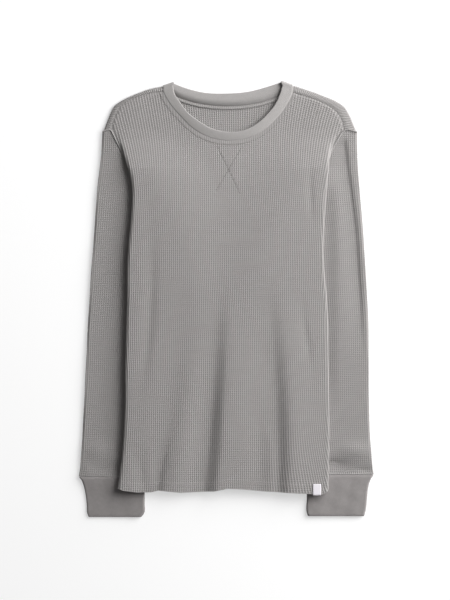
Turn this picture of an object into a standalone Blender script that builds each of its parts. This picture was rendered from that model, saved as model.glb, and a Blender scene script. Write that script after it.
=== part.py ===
"""A long-sleeved thermal top in waffle knit, laid flat on its back with its sides turned under.

Each piece of cloth is a wall through a grid of points. X runs to the wearer's left, Y towards
the neck and Z up from the surface that the top lies on. The sizes below are in millimetres.
"""

import math

import bmesh
import bpy
import numpy as np

MM = 0.001
COLLECTION = "thermal_top"

CLOTH = 1.6            # wall of the waffle knit
BAND_WALL = 2.2        # wall of the doubled neckband
TAPE_WALL = 1.0        # wall of the neck tape
LABEL_WALL = 1.0       # wall of the woven label
SEAM_GAP = 0.42        # clearance between two pieces sewn edge to edge
LAID_GAP = 0.45        # clearance of the tape and the label above the cloth they lie on
BODY_HALF = 265.0      # half the body's width as cut, from centre to side seam
UNDERARM = 51.0        # Y of the foot of the armhole

FLOOR = CLOTH / 2      # height of the middle of a wall that lies on the surface
SLEEVE_TOP = 5.2       # height of the middle of a sleeve's upper layer
FRONT_SIDE = 17.4      # height of the front over the layers turned under it
BACK_SIDE = 14.7       # height of the back over the same layers
SHOULDER = 6.6         # height of the front at the shoulder seam
BAND_LOW = BAND_WALL / 2 + 0.1    # height of the neckband's middle where its back lies
BAND_SEAM = SHOULDER + 0.1        # height of the neckband at the front seam
BAND_RISE = 0.6        # how much higher its free edge lies than its seam
BAND_LIFT = 1.6        # how much the front's free edge stands up besides
BAND_GAP = 0.7         # clearance of the neckband's seam edge
BAND_ROWS = 3
PEAK_OUT = (0.3, 0.93)            # which way the neckband's fold at a neck point swells
PEAK_LEAN = 0.2        # how far that leans, from the seam to the free edge
TAPE_WIDTH = 5.0
TAPE_INSET = 0.8       # how far below the neck seam the tape starts
TAPE_REACH = 0.88      # share of the back neck seam that the tape covers
LEAD = 4.0             # how far inside the layers beneath it the cloth has risen
BACK_RAMP = 48.0       # width over which the back rises on to those layers
BACK_FOLLOWS = 0.8     # share of the front's soft folds that the back under it follows
FOLD_FADE = 14.0       # width over which a soft fold dies out beside the turned edge

SIDES = (("left", -1), ("right", 1))


def table(columns, *rows):
    """A short table of sizes, read by the names of its columns."""
    return dict(zip(columns.split(), np.array(rows, float).T))


# Where the front starts to turn under at each side, how far it turns in degrees, and the
# length of cloth in the turn.
FOLD = table(
    "y left right turn arc",
    (-340, 184.0, 169.6, 180, 15.4),
    (-324, 180.9, 169.8, 180, 15.4),
    (-300, 177.6, 170.7, 180, 15.4),
    (-256, 172.7, 171.4, 180, 15.4),
    (-207, 169.6, 171.4, 180, 15.4),
    (-109, 168.3, 170.0, 180, 15.4),
    (-5, 165.3, 167.7, 180, 15.4),
    (57, 164.6, 162.6, 180, 15.4),
    (89, 163.0, 161.7, 180, 15.4),
    (120, 160.1, 162.8, 180, 15.4),
    (158, 157.1, 164.9, 180, 15.4),
    (198, 157.3, 168.3, 180, 15.4),
    (215, 160.6, 169.6, 180, 15.4),
    (225, 164.0, 171.0, 150, 12.8),
    (241, 169.2, 172.6, 100, 8.4),
    (250, 171.8, 173.0, 66, 6.9),
    (259, 174.2, 173.8, 40, 5.4),
    (275, 178.4, 179.0, 12, 6.5),
    (291.4, 183.0, 185.5, 4, 8.0),
    (308, 186.2, 190.5, 1, 8.6),
    (322, 188.2, 193.6, 0, 9.4),
    (340, 190.0, 196.0, 0, 10.0),
)

# Length of the front beyond the turn, from the foot of the armhole up to the shoulder.
FLAP = table(
    "y left right",
    (51, 85.0, 87.0),
    (75, 78.0, 80.0),
    (100, 66.0, 68.0),
    (150, 43.0, 44.0),
    (200, 14.0, 15.0),
    (215, 7.0, 7.0),
    (225, 3.0, 3.0),
    (241, 2.5, 2.5),
    (250, 3.4, 3.4),
    (259, 4.2, 4.6),
    (275, 5.8, 6.2),
    (284, 6.6, 7.2),
    (291.4, 7.6, 10.2),
)

# The back near the shoulder: where its turn starts, the turn, its arc and the flap past it.
BACK_FOLD = table(
    "y left right turn arc left_flap right_flap",
    (225, 163.4, 170.4, 150, 6.5, 3.0, 3.0),
    (233, 165.2, 171.0, 112, 5.0, 2.2, 2.2),
    (241, 167.2, 170.8, 78, 4.0, 2.2, 2.2),
    (249, 170.0, 172.6, 45, 4.0, 2.4, 2.4),
    (256, 173.0, 176.0, 18, 5.0, 3.2, 3.6),
    (263, 175.8, 180.0, 6, 6.0, 5.0, 6.0),
    (275, 179.0, 185.0, 0, 8.0, 10.0, 12.0),
    (288.5, 182.5, 190.2, 0, 10.0, 16.5, 21.8),
    (300, 185.5, 194.3, 0, 11.0, 20.0, 24.0),
    (315, 188.6, 198.6, 0, 11.4, 20.0, 24.0),
    (330, 190.6, 202.3, 0, 11.6, 20.0, 24.0),
)
BACK_ARC = 7.85        # cloth in the back's turn, inside the front's
BACK_ARC_Y = 215.0     # Y above which that turn opens out

# Height of the front and of the back beside the fold, where the layers under them begin, the
# width over which the front rises on to those layers, and height of the front at the centre of
# the body, which is a little puffed up.
SIDE_RISE = table(
    "y front back under ramp chest",
    (-340, FRONT_SIDE, BACK_SIDE, 86, 82, 13.6),
    (-200, FRONT_SIDE, BACK_SIDE, 87, 83, 14.4),
    (-100, FRONT_SIDE, BACK_SIDE, 83, 79, 15.2),
    (-26, FRONT_SIDE, BACK_SIDE, 74, 70, 15.6),
    (20, FRONT_SIDE, BACK_SIDE, 66, 62, 15.7),
    (51, FRONT_SIDE, BACK_SIDE, 64, 60, 15.9),
    (100, FRONT_SIDE, BACK_SIDE, 84, 80, 16.0),
    (150, FRONT_SIDE, BACK_SIDE, 108, 104, 15.6),
    (200, FRONT_SIDE, BACK_SIDE, 140, 130, 14.0),
    (215, FRONT_SIDE, BACK_SIDE, 150, 125, 13.2),
    (225, 16.8, 14.4, 156, 120, 12.5),
    (233, 15.4, 12.2, 159, 112, 11.7),
    (241, 14.2, 9.4, 162, 100, 10.8),
    (249, 12.8, 5.2, 165, 85, 9.8),
    (256, 11.6, 2.9, 168, 70, 8.8),
    (263, 10.3, 1.7, 171, 58, 7.9),
    (275, 8.0, 1.0, 174, 48, 6.7),
    (291.4, 6.8, FLOOR, 176, 48, 6.0),
    (310, SHOULDER, FLOOR, 176, 48, 6.0),
    (380, SHOULDER, FLOOR, 176, 48, 6.0),
)

FOLD_FOOT = -332.0     # Y at which a soft fold reaches its full depth
# Soft folds of the body from their tops down to the hem, with the width of each flank. A trough
# is deeper than 0 and a ridge is less.
BODY_FOLDS = table(
    "top_x top_y middle_x end_x end_y depth left right",
    (-16, 20, -24, -41, FOLD_FOOT, 3.9, 48, 14),
    (8, 100, 2, -13, FOLD_FOOT, -4.5, 15, 42),
    (48, -140, 56, 56, FOLD_FOOT, 1.3, 18, 12),
    (72, -200, 78, 78, FOLD_FOOT, -1.0, 10, 9),
    (60, 70, 82, 87, FOLD_FOOT, 3.0, 32, 14),
    (88, 70, 108, 110, FOLD_FOOT, -2.6, 16, 34),
    (-62, 60, -88, -126, FOLD_FOOT, 2.4, 34, 22),
    (-36, 60, -58, -92, FOLD_FOOT, -0.9, 24, 30),
    (-150, -230, -148, -142, FOLD_FOOT, 1.3, 12, 10),
    (-140, 235, -129, -158, -225, 1.8, 12, 9),
    (124, 40, 136, 150, -150, 1.0, 9, 6),
    (148, 270, 145, 150, 110, 1.1, 8, 5),
)

HEM = table(
    "x y",
    (-187, -325.4),
    (-177, -329.7),
    (-154, -332.8),
    (-129, -332.3),
    (-117, -329.4),
    (-79, -332.0),
    (-42, -330.4),
    (-6, -327.2),
    (14, -326.0),
    (53, -329.4),
    (100, -332.3),
    (148, -335.2),
    (165, -336.3),
    (176, -328.0),
)
HEM_TURNED = -327.0    # Y of the hem on the layers that lie underneath

NECK_FRONT_SEAM = table(
    "x y",
    (-109.4, 357.3),
    (-105.0, 347.8),
    (-93.1, 330.1),
    (-77.3, 312.4),
    (-57.5, 293.3),
    (-27.9, 277.2),
    (1.6, 272.0),
    (31.2, 274.9),
    (57.0, 285.4),
    (76.6, 300.5),
    (94.5, 320.3),
    (108.3, 341.9),
    (114.6, 355.4),
)
NECK_FRONT_EDGE = table(
    "x y",
    (-91.6, 367.0),
    (-89.2, 353.8),
    (-79.4, 338.0),
    (-67.5, 322.2),
    (-47.7, 306.3),
    (-27.9, 294.5),
    (1.6, 287.6),
    (31.2, 290.5),
    (51.0, 300.5),
    (70.8, 318.2),
    (84.5, 335.9),
    (92.5, 353.8),
    (96.6, 367.0),
)
NECK_BACK_EDGE = table(
    "x y",
    (-89.4, 370.8),
    (-67.5, 362.7),
    (-37.9, 355.7),
    (1.6, 354.3),
    (41.0, 357.8),
    (70.8, 365.7),
    (93.5, 373.1),
)
NECK_BACK_SEAM = table(
    "x y",
    (-109.4, 364.3),
    (-83.3, 347.8),
    (-57.5, 339.0),
    (-27.9, 333.7),
    (1.6, 332.1),
    (41.0, 335.1),
    (70.8, 341.9),
    (88.5, 348.8),
    (114.5, 365.9),
)

SHOULDER_SEAM = {
    "left": table(
        "x y",
        (109.4, 357.3), (132.2, 354.0), (154.2, 347.8), (170.5, 340.4),
        (181.5, 332.6), (189.0, 322.0), (194.6, 309.6), (198.2, 291.4),
    ),
    "right": table(
        "x y",
        (114.6, 355.4), (139.9, 348.4), (161.6, 339.7), (183.4, 327.7),
        (193.1, 318.4), (199.1, 308.0), (203.6, 291.4),
    ),
}
OUTLINE = {
    "left": table(
        "x y",
        (110.2, 367.9), (135.5, 362.4), (148.7, 357.6), (165.2, 350.9),
        (183.8, 341.4), (194.6, 333.1), (201.0, 321.5), (206.3, 308.2), (213.5, 289.8),
    ),
    "right": table(
        "x y",
        (115.7, 369.4), (147.1, 359.0), (170.0, 350.5), (191.9, 340.9),
        (205.1, 331.5), (213.5, 318.0), (220.4, 302.0), (225.6, 289.0),
    ),
}
SHOULDER_SPLITS = (0.0, 0.70, 0.85, 1.0)   # shares of the shoulder given to level, turn, flap

# The outer and inner edges of each sleeve and cuff.
SLEEVE = {
    "left": table(
        "y outer inner",
        (-306.2, 254.3, 141.5), (-296, 252.6, 131.0), (-276, 251.0, 122.0),
        (-235, 248.1, 113.0), (-172, 245.0, 103.0), (-109, 241.9, 94.0),
        (-26, 237.6, 80.0), (57, 232.5, 67.0), (120, 227.3, 67.0),
        (181, 223.5, 67.0), (240, 216.8, 67.0), (288.6, 213.5, 67.0),
    ),
    "right": table(
        "y outer inner",
        (-302.6, 254.3, 139.3), (-292, 252.9, 130.0), (-271, 250.4, 121.0),
        (-231, 247.4, 113.0), (-172, 246.0, 103.0), (-109, 245.8, 94.0),
        (-26, 244.4, 80.0), (57, 240.0, 67.0), (120, 235.6, 67.0),
        (181, 230.8, 67.0), (240, 226.6, 67.0), (288.0, 225.6, 67.0),
    ),
}
CUFF = {
    "left": table(
        "y outer inner",
        (-307.1, 254.0, 141.6), (-311, 250.6, 141.3), (-318, 247.4, 141.1),
        (-331, 244.0, 141.1), (-354, 240.9, 141.1), (-371, 239.6, 142.6), (-376.5, 237.2, 147.5),
    ),
    "right": table(
        "y outer inner",
        (-303.5, 254.0, 139.2), (-308, 250.4, 139.0), (-317, 246.6, 138.9),
        (-331, 243.8, 138.9), (-346, 242.4, 138.9), (-369, 239.2, 138.9), (-374.8, 237.4, 141.0),
    ),
}
# The tip of each sleeve's back beside the back panel, above the turn.
SLEEVE_BACK_HEAD = {
    "left": table("x y", (178.0, 241), (181.6, 252), (188.6, 262.5), (194, 270), (199, 276),
                  (204.5, 281.6), (213.5, 287.0)),
    "right": table("x y", (180.5, 241), (184.6, 252), (194.2, 262.5), (202, 270), (208.5, 276),
                   (215.6, 281.4), (225.6, 286.0)),
}
HEAD_GAP = 0.75        # clearance of the sleeve's edge beside the front's, where the two show
HEAD_CORNER = 0.85     # clearance of the sleeve's edge below the shoulder strip
HEAD_RISE = 0.6        # how much higher the tip of the sleeve lies than its upper layer
HEAD_BLEND = 10.0      # width over which the upper layer comes down from the armhole
HEAD_BLEND_Y = (200.0, 215.0)     # Y between which the upper layer starts to follow the armhole
# How far the sleeve's edge lies below the front's, as the front turns under.
HEAD_DROP = table("turn drop", (10, 0), (25, 0.5), (50, 1.2), (100, 2.2), (150, 2.4), (180, 2.4))
# Gathers of a sleeve above its cuff, from the inner edge to the outer.
GATHERS = 5
GATHER_DEPTH = 0.6
GATHER_LENGTH = 30.0
GATHER_FROM = 0.45     # share of the sleeve's width at which the gathers begin

LABEL = dict(x=155.4, width=13.4, top=-318.4)
LABEL_ROWS = 4

# Rows of the body, as shares of the way from hem to top. At the marks they lie at these
# heights along the turned sides and below the neck points, so they are close at the armholes.
BODY_ROWS = np.concatenate([np.linspace(0, 0.5, 13), np.linspace(0.5, 0.75, 9)[1:],
                            np.linspace(0.75, 1, 7)[1:]])
ROW_MARKS = (0.0, 0.5, 0.75, 1.0)
SIDE_LEVELS = (200.0, 256.0)
NECK_LEVELS = (205.0, 268.0)
NECK_COLUMNS = 18
SIDE_COLUMNS = (4, 4, 2)          # columns of the level, turned and flap parts of a side
SHOULDER_TURN = 4      # rows in the back's turn over a shoulder
SLEEVE_ROWS = np.concatenate([np.linspace(0, 0.1, 4), np.linspace(0.1, 0.8, 9)[1:],
                              np.linspace(0.8, 1, 8)[1:]])
# Y of the sleeve's columns along the armhole, up to the corner; the last one is at the tip.
SLEEVE_HEAD_Y = np.array((UNDERARM, 125, 185, 215, 228, 240, 252, 264, 275, 284, 291.4))
CUFF_ROWS = 5
CUFF_COLUMNS = 5
EDGE_COLUMNS = 4       # columns in the turn at the side of a tube
SHOULDER_FOOT = 100.0  # X at the hem of the line that ends at a neck point


# --- reading the tables ---------------------------------------------------------------------


def smooth(knots, values, at):
    """A smooth line through a table's points, read at one place or many."""
    slopes = np.gradient(values, knots)
    at = np.clip(at, knots[0], knots[-1])
    index = np.clip(np.searchsorted(knots, at) - 1, 0, len(knots) - 2)
    step = knots[index + 1] - knots[index]
    t = (at - knots[index]) / step
    start = values[index] * (1 + 2 * t) * (1 - t) ** 2 + slopes[index] * step * t * (1 - t) ** 2
    end = values[index + 1] * t * t * (3 - 2 * t) + slopes[index + 1] * step * t * t * (t - 1)
    return start + end


def run(line, share):
    """Points on a drawn line, each at a share of its length from 0 to 1."""
    reach = np.hypot(np.diff(line["x"]), np.diff(line["y"])).cumsum()
    knots = np.concatenate(([0.0], reach)) / reach[-1]
    return np.stack([smooth(knots, line["x"], share), smooth(knots, line["y"], share)], axis=-1)


def ease(value):
    """A soft step from 0 to 1."""
    value = np.clip(value, 0.0, 1.0)
    return value * value * (3 - 2 * value)


def mirrored(points, sign):
    """Plan points of a side table, which gives distances from the centre, on their own side."""
    return points * np.array([sign, 1.0])


# --- how the body cloth lies ----------------------------------------------------------------


def front_edges(side, y):
    """Start and end of the front's turn and the cut edge, in the cloth, with the turn's angle."""
    start = smooth(FOLD["y"], FOLD[side], y)
    end = start + np.interp(y, FOLD["y"], FOLD["arc"])
    flap = np.interp(y, FLAP["y"], FLAP[side])
    edge = np.where(y < UNDERARM, BODY_HALF, end + flap)
    return start, end, edge, np.radians(np.interp(y, FOLD["y"], FOLD["turn"]))


def back_edges(side, y):
    """The same for the back, whose turn lies inside the front's."""
    knots = BACK_FOLD["y"]
    low = y < knots[0]
    front_start, front_end, front_edge, front_turn = front_edges(side, y)
    start = np.where(low, front_start, np.interp(y, knots, BACK_FOLD[side]))
    low_arc = np.interp(y, (BACK_ARC_Y, knots[0]), (BACK_ARC, BACK_FOLD["arc"][0]))
    end = start + np.where(low, low_arc, np.interp(y, knots, BACK_FOLD["arc"]))
    flap = np.interp(y, knots, BACK_FOLD[side + "_flap"])
    edge = end + np.where(low, front_edge - front_end, flap)
    turn = np.radians(np.interp(y, knots, BACK_FOLD["turn"]))
    return start, end, edge, np.where(low, front_turn, turn)


def rise(x, y, ramp):
    """How far the cloth at a point has risen on to the layers beneath it, from 0 to 1."""
    return ease((np.abs(x) - np.interp(y, SIDE_RISE["y"], SIDE_RISE["under"]) + LEAD) / ramp + 1)


def folds(x, y):
    """Height that the soft folds add, fading at the turned edges."""
    total = np.zeros(np.shape(x))
    for top_x, top_y, middle_x, end_x, end_y, depth, left, right in zip(*BODY_FOLDS.values()):
        share = np.clip((top_y - y) / (top_y - end_y), 0, 1)
        line = (top_x * (1 - share) * (1 - 2 * share) + middle_x * 4 * share * (1 - share)
                + end_x * share * (2 * share - 1))
        width = np.where(x < line, left, right)
        fade = ease(share * 1.5) * (ease(2 - 2 * share) if end_y > FOLD_FOOT else 1)
        total -= depth * fade * np.exp(-((x - line) / width) ** 2)
    for side, sign in SIDES:
        start = smooth(FOLD["y"], FOLD[side], y)
        total = np.where(x * sign > 0, total * ease((start - np.abs(x)) / FOLD_FADE), total)
    return total


def front_height(x, y):
    rows = (np.interp(y, SIDE_RISE["y"], SIDE_RISE[key]) for key in ("front", "chest", "ramp"))
    side, chest, ramp = rows
    return chest + (side - chest) * rise(x, y, ramp) + folds(x, y)


def back_height(x, y):
    side = np.interp(y, SIDE_RISE["y"], SIDE_RISE["back"])
    share = rise(x, y, BACK_RAMP)
    return FLOOR + (side - FLOOR) * share + BACK_FOLLOWS * folds(x, y) * share * (side > FRONT_SIDE / 2)


def lay(cloth, edges, height):
    """Lay cut cloth down: it runs level out to the fold, turns under and runs back beneath."""
    s, y = cloth[..., 0], cloth[..., 1]
    laid = np.zeros(cloth.shape[:-1] + (3,))
    for side, sign in SIDES:
        start, end, edge, turn = edges(side, y)
        out = np.abs(s)
        level = np.minimum(out, start)
        bent = np.clip(out - start, 0, end - start)
        past = np.maximum(out - end, 0)
        angle = turn * bent / (end - start)
        x = level + bent * np.sinc(angle / math.pi) + past * np.cos(turn)
        drop = bent * np.sin(angle / 2) * np.sinc(angle / math.tau) + past * np.sin(turn)
        here = np.stack([sign * x, y, height(sign * level, y) - drop], axis=-1)
        laid = np.where((s * sign >= 0)[..., None], here, laid)
    return laid


def hem_line(s):
    """Y of the hem, which the turned layers share at one level."""
    seen = (s > HEM["x"][0]) & (s < HEM["x"][-1])
    return np.where(seen, np.interp(s, HEM["x"], HEM["y"]), HEM_TURNED)


# --- grids of points ------------------------------------------------------------------------


def block(low, high, first, last, rows):
    """A patch between two guides, whose first and last rows follow drawn lines."""
    u = np.linspace(0, 1, len(first))[None, :, None]
    v = rows[:, None, None]
    ruled = low[:, None] * (1 - u) + high[:, None] * u
    below = first[None] - (low[0] * (1 - u[0]) + high[0] * u[0])[None]
    above = last[None] - (low[-1] * (1 - u[0]) + high[-1] * u[0])[None]
    return ruled + below * (1 - v) + above * v


def guide(edges, side, sign, column, top):
    """A line up the cloth from hem to top, along the turn's start, its end or the cut edge."""
    foot = float(hem_line(sign * edges(side, HEM_TURNED)[column]))
    y = np.interp(BODY_ROWS, ROW_MARKS, (foot, *SIDE_LEVELS, top))
    return np.stack([sign * edges(side, y)[column], y], axis=-1)


def hem_row(low, high, columns):
    s = np.linspace(low[0, 0], high[0, 0], columns + 1)
    return np.stack([s, hem_line(s)], axis=-1)


def body_grid(edges, neck_line, shoulder_lines):
    """The points of a body panel in its cloth, from side seam to side seam."""
    rows = BODY_ROWS
    guides, tops = {}, {}
    for side, sign in SIDES:
        ends = mirrored(run(shoulder_lines[side], np.array(SHOULDER_SPLITS)), sign)
        foot = np.array([sign * SHOULDER_FOOT, float(hem_line(sign * SHOULDER_FOOT))])
        y = np.interp(rows, ROW_MARKS, (foot[1], *NECK_LEVELS, ends[0, 1]))
        guides[side] = [foot + (ends[0] - foot) * ((y - foot[1]) / (ends[0, 1] - foot[1]))[:, None]]
        for column in range(3):
            line = guide(edges, side, sign, column, ends[column + 1, 1])
            line[:, 0] += (ends[column + 1, 0] - line[-1, 0]) * rows ** 12
            guides[side].append(line)
        tops[side] = [
            mirrored(run(shoulder_lines[side], np.linspace(a, b, count + 1)), sign)
            for a, b, count in zip(SHOULDER_SPLITS, SHOULDER_SPLITS[1:], SIDE_COLUMNS)
        ]
    strips = []
    for index, count in reversed(list(enumerate(SIDE_COLUMNS))):
        low, high = guides["left"][index + 1], guides["left"][index]
        strips.append(block(low, high, hem_row(low, high, count), tops["left"][index][::-1], rows))
    low, high = guides["left"][0], guides["right"][0]
    neck = run(neck_line, np.linspace(0, 1, NECK_COLUMNS + 1))
    strips.append(block(low, high, hem_row(low, high, NECK_COLUMNS), neck, rows))
    for index, count in enumerate(SIDE_COLUMNS):
        low, high = guides["right"][index], guides["right"][index + 1]
        strips.append(block(low, high, hem_row(low, high, count), tops["right"][index], rows))
    return np.concatenate([strips[0]] + [strip[:, 1:] for strip in strips[1:]], axis=1)


# --- making objects -------------------------------------------------------------------------


def material(name, colour, roughness=0.9):
    made = bpy.data.materials.new(name)
    made.use_nodes = True
    shader = made.node_tree.nodes["Principled BSDF"]
    shader.inputs["Base Color"].default_value = (*colour, 1.0)
    shader.inputs["Roughness"].default_value = roughness
    shader.inputs["Metallic"].default_value = 0.0
    return made


def cloth_object(name, points, wall, finish, keep=None, ring=False):
    """A wall of cloth through a grid of points, open at its edges or closed into a tube."""
    rows, columns = points.shape[0] - 1, points.shape[1] - 1
    bm = bmesh.new()
    bmesh.ops.create_grid(bm, x_segments=columns, y_segments=rows, size=1)
    bm.verts.ensure_lookup_table()
    for vert, place in zip(bm.verts, points.reshape(-1, 3)):
        vert.co = [value * MM for value in place]
    if keep is not None:
        bm.faces.ensure_lookup_table()
        spare = [face for face, kept in zip(bm.faces, keep.reshape(-1)) if not kept]
        bmesh.ops.delete(bm, geom=spare, context="FACES")
    if ring:
        bmesh.ops.remove_doubles(bm, verts=bm.verts, dist=0.00001)
    bmesh.ops.recalc_face_normals(bm, faces=bm.faces)
    mesh = bpy.data.meshes.new(name)
    bm.to_mesh(mesh)
    bm.free()
    mesh.shade_smooth()
    made = bpy.data.objects.new(name, mesh)
    made.data.materials.append(finish)
    shell = made.modifiers.new("wall", "SOLIDIFY")
    shell.thickness = wall * MM
    shell.offset = 0.0
    bpy.data.collections[COLLECTION].objects.link(made)
    return made


# --- the pieces -----------------------------------------------------------------------------


def front(finish):
    """The front: its sides turn under and end at the side seams and armholes."""
    cloth = body_grid(front_edges, NECK_FRONT_SEAM, SHOULDER_SEAM)
    return cloth_object("front", lay(cloth, front_edges, front_height), CLOTH, finish)


def shoulder_turn(outline, seam):
    """The back's rows over the top of a shoulder: round the outline and down to the seam."""
    along = np.gradient(outline, axis=0)
    outward = np.stack([-along[:, 1], along[:, 0]], axis=-1)
    outward /= np.linalg.norm(outward, axis=-1, keepdims=True)
    outward *= np.sign(outward[:, 1:].mean())
    radius = (SHOULDER - FLOOR) / 2
    inset = outline - outward * (radius + CLOTH / 2)
    rows = []
    for angle in np.linspace(0, math.pi, SHOULDER_TURN + 1):
        plan = inset + outward * radius * math.sin(angle)
        height = FLOOR + radius * (1 - math.cos(angle))
        rows.append(np.column_stack([plan, np.full(len(plan), height)]))
    stop = seam + outward * SEAM_GAP
    for share in (0.5, 1.0):
        plan = inset + (stop - inset) * share
        rows.append(np.column_stack([plan, np.full(len(plan), SHOULDER)]))
    return np.array(rows)


def shoulder_shares():
    """Shares of the shoulder's length at the columns of its level, turn and flap parts."""
    parts = zip(SHOULDER_SPLITS, SHOULDER_SPLITS[1:], SIDE_COLUMNS)
    return np.concatenate([[0.0]] + [np.linspace(a, b, count + 1)[1:] for a, b, count in parts])


def back(finish):
    """The back: it lies inside the front's turned sides and comes forward over the shoulders."""
    shares = shoulder_shares()
    turns, lines = {}, {}
    for side, sign in SIDES:
        outline = mirrored(run(OUTLINE[side], shares), sign)
        seam = mirrored(run(SHOULDER_SEAM[side], shares), sign)
        turns[side] = shoulder_turn(outline, seam)
        inset = turns[side][0][:, :2]
        lines[side] = dict(x=inset[:, 0] * sign, y=inset[:, 1])
    cloth = body_grid(back_edges, NECK_BACK_SEAM, lines)
    side_columns = len(shares) - 1
    cloth[-1, :side_columns + 1] = turns["left"][0][::-1, :2]
    cloth[-1, -side_columns - 1:] = turns["right"][0][:, :2]
    points = lay(cloth, back_edges, back_height)
    points[-1, :side_columns + 1] = turns["left"][0][::-1]
    points[-1, -side_columns - 1:] = turns["right"][0]
    extra = len(turns["left"]) - 1
    over = np.repeat(points[-1:], extra, axis=0)
    over[:, :side_columns + 1] = turns["left"][1:, ::-1]
    over[:, -side_columns - 1:] = turns["right"][1:]
    keep = np.ones((len(points) - 1 + extra, points.shape[1] - 1), bool)
    keep[len(points) - 1:, side_columns:-side_columns] = False
    return cloth_object("back", np.concatenate([points, over]), CLOTH, finish, keep)


def sleeve_head(side):
    """The armhole edge of a sleeve's upper layer, from underarm to shoulder tip."""
    y = SLEEVE_HEAD_Y
    start, end, edge, turn = front_edges(side, y)
    tip = lay(np.stack([edge, y], axis=-1), lambda _, rows: front_edges(side, rows), front_height)
    x = tip[:, 0] + HEAD_GAP * np.clip(np.cos(turn), 0, 1)
    drop = np.interp(np.degrees(turn), HEAD_DROP["turn"], HEAD_DROP["drop"])
    head = np.column_stack([x, y, tip[:, 2] - drop])
    outer = SLEEVE[side]["outer"][-1], SLEEVE[side]["y"][-1]
    corner = np.array([head[-1], [outer[0], outer[1], SLEEVE_TOP + HEAD_RISE]])
    corner[:, 1] -= HEAD_CORNER
    return np.concatenate([head[:-1], corner])


def sleeve(side, sign, finish):
    """A flat tube from the armhole to the cuff, with its folds at the outer and inner edges."""
    shape, v = SLEEVE[side], SLEEVE_ROWS
    u = np.linspace(0, 1, len(SLEEVE_HEAD_Y) + 1)
    radius = (SLEEVE_TOP - FLOOR) / 2
    inset = radius + CLOTH / 2
    cuff_y, tip_y = shape["y"][0], shape["y"][-1]
    head = sleeve_head(side)
    back_head = sleeve_back_head(side)
    outer_y = cuff_y + (tip_y - cuff_y) * v
    inner_y = cuff_y + (UNDERARM - cuff_y) * v
    outer_x = smooth(shape["y"], shape["outer"], outer_y) - inset
    inner_x = smooth(shape["y"], shape["inner"], inner_y) + inset
    low = np.stack([inner_x, inner_y], axis=-1)
    high = np.stack([outer_x, outer_y], axis=-1)
    first = np.stack([np.linspace(inner_x[0], outer_x[0], len(u)), np.full(len(u), cuff_y)], axis=-1)
    layers = []
    for edge in (head[:, :2], back_head):
        low_guide = low + (edge[0] - low[-1]) * (v ** 4)[:, None]
        high_guide = high + (edge[-1] - np.array([inset, 0]) - high[-1]) * (v ** 8)[:, None]
        last = edge.copy()
        last[-1, 0] -= inset
        layers.append(block(low_guide, high_guide, first, last, v))
    upper, lower = layers
    head_height = np.interp(upper[..., 1], head[:, 1], head[:, 2])
    head_x = np.interp(upper[..., 1], head[:, 1], head[:, 0])
    up = (upper[..., 1] - HEAD_BLEND_Y[0]) / (HEAD_BLEND_Y[1] - HEAD_BLEND_Y[0])
    near = np.exp(-np.clip(upper[..., 0] - head_x, 0, None) / HEAD_BLEND) * ease(up)
    gather = ease(1 - (upper[..., 1] - cuff_y) / GATHER_LENGTH) * (v > 0)[:, None]
    swell = gather * (np.sin(u * GATHERS * math.tau) ** 2 * (u > GATHER_FROM))[None]
    top = SLEEVE_TOP + (head_height - SLEEVE_TOP) * near + GATHER_DEPTH * swell
    points = tube(upper, lower, top) * [sign, 1, 1]
    return cloth_object(f"sleeve_{side}", points, CLOTH, finish, ring=True)


def sleeve_back_head(side):
    """The armhole edge of a sleeve's lower layer, under the upper one's until near the tip."""
    head = sleeve_head(side)[:, :2]
    tip = SLEEVE_BACK_HEAD[side]
    for index, (x, y) in enumerate(zip(tip["x"][::-1], tip["y"][::-1])):
        head[-1 - index] = x, y
    return head


def tube(upper, lower, top):
    """The rings of a flat tube: its upper layer, a turn, its lower layer and the other turn."""
    ring = [
        np.dstack([upper, top]),
        side_turn(upper[:, -1], lower[:, -1], top[:, -1], 1),
        np.dstack([lower[:, ::-1], np.full(lower.shape[:2], FLOOR)]),
        side_turn(upper[:, 0], lower[:, 0], top[:, 0], -1)[:, ::-1],
    ]
    points = np.concatenate(ring, axis=1)
    return np.concatenate([points, points[:, :1]], axis=1)


def side_turn(upper, lower, top, way):
    """The inner columns of a half-round turn from an upper layer's edge to a lower one's."""
    columns = []
    for angle in np.linspace(0, math.pi, EDGE_COLUMNS + 1)[1:-1]:
        share = (1 - math.cos(angle)) / 2
        plan = upper * (1 - share) + lower * share
        radius = (top - FLOOR) / 2
        x = plan[:, 0] + way * radius * math.sin(angle)
        columns.append(np.column_stack([x, plan[:, 1], top + (FLOOR - top) * share]))
    return np.stack(columns, axis=1)


def cuff(side, sign, finish):
    """A flat tube of rib below the sleeve."""
    shape = CUFF[side]
    y = np.linspace(shape["y"][0], shape["y"][-1], CUFF_ROWS + 1)
    radius = (SLEEVE_TOP - FLOOR) / 2
    inset = radius + CLOTH / 2
    outer = smooth(shape["y"][::-1], shape["outer"][::-1], y) - inset
    inner = smooth(shape["y"][::-1], shape["inner"][::-1], y) + inset
    u = np.linspace(0, 1, CUFF_COLUMNS + 1)[None, :]
    x = inner[:, None] * (1 - u) + outer[:, None] * u
    flat = np.stack([x, np.repeat(y[:, None], x.shape[1], axis=1)], axis=-1)
    points = tube(flat, flat, np.full(x.shape, SLEEVE_TOP)) * [sign, 1, 1]
    return cloth_object(f"cuff_{side}", points, CLOTH, finish, ring=True)


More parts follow.
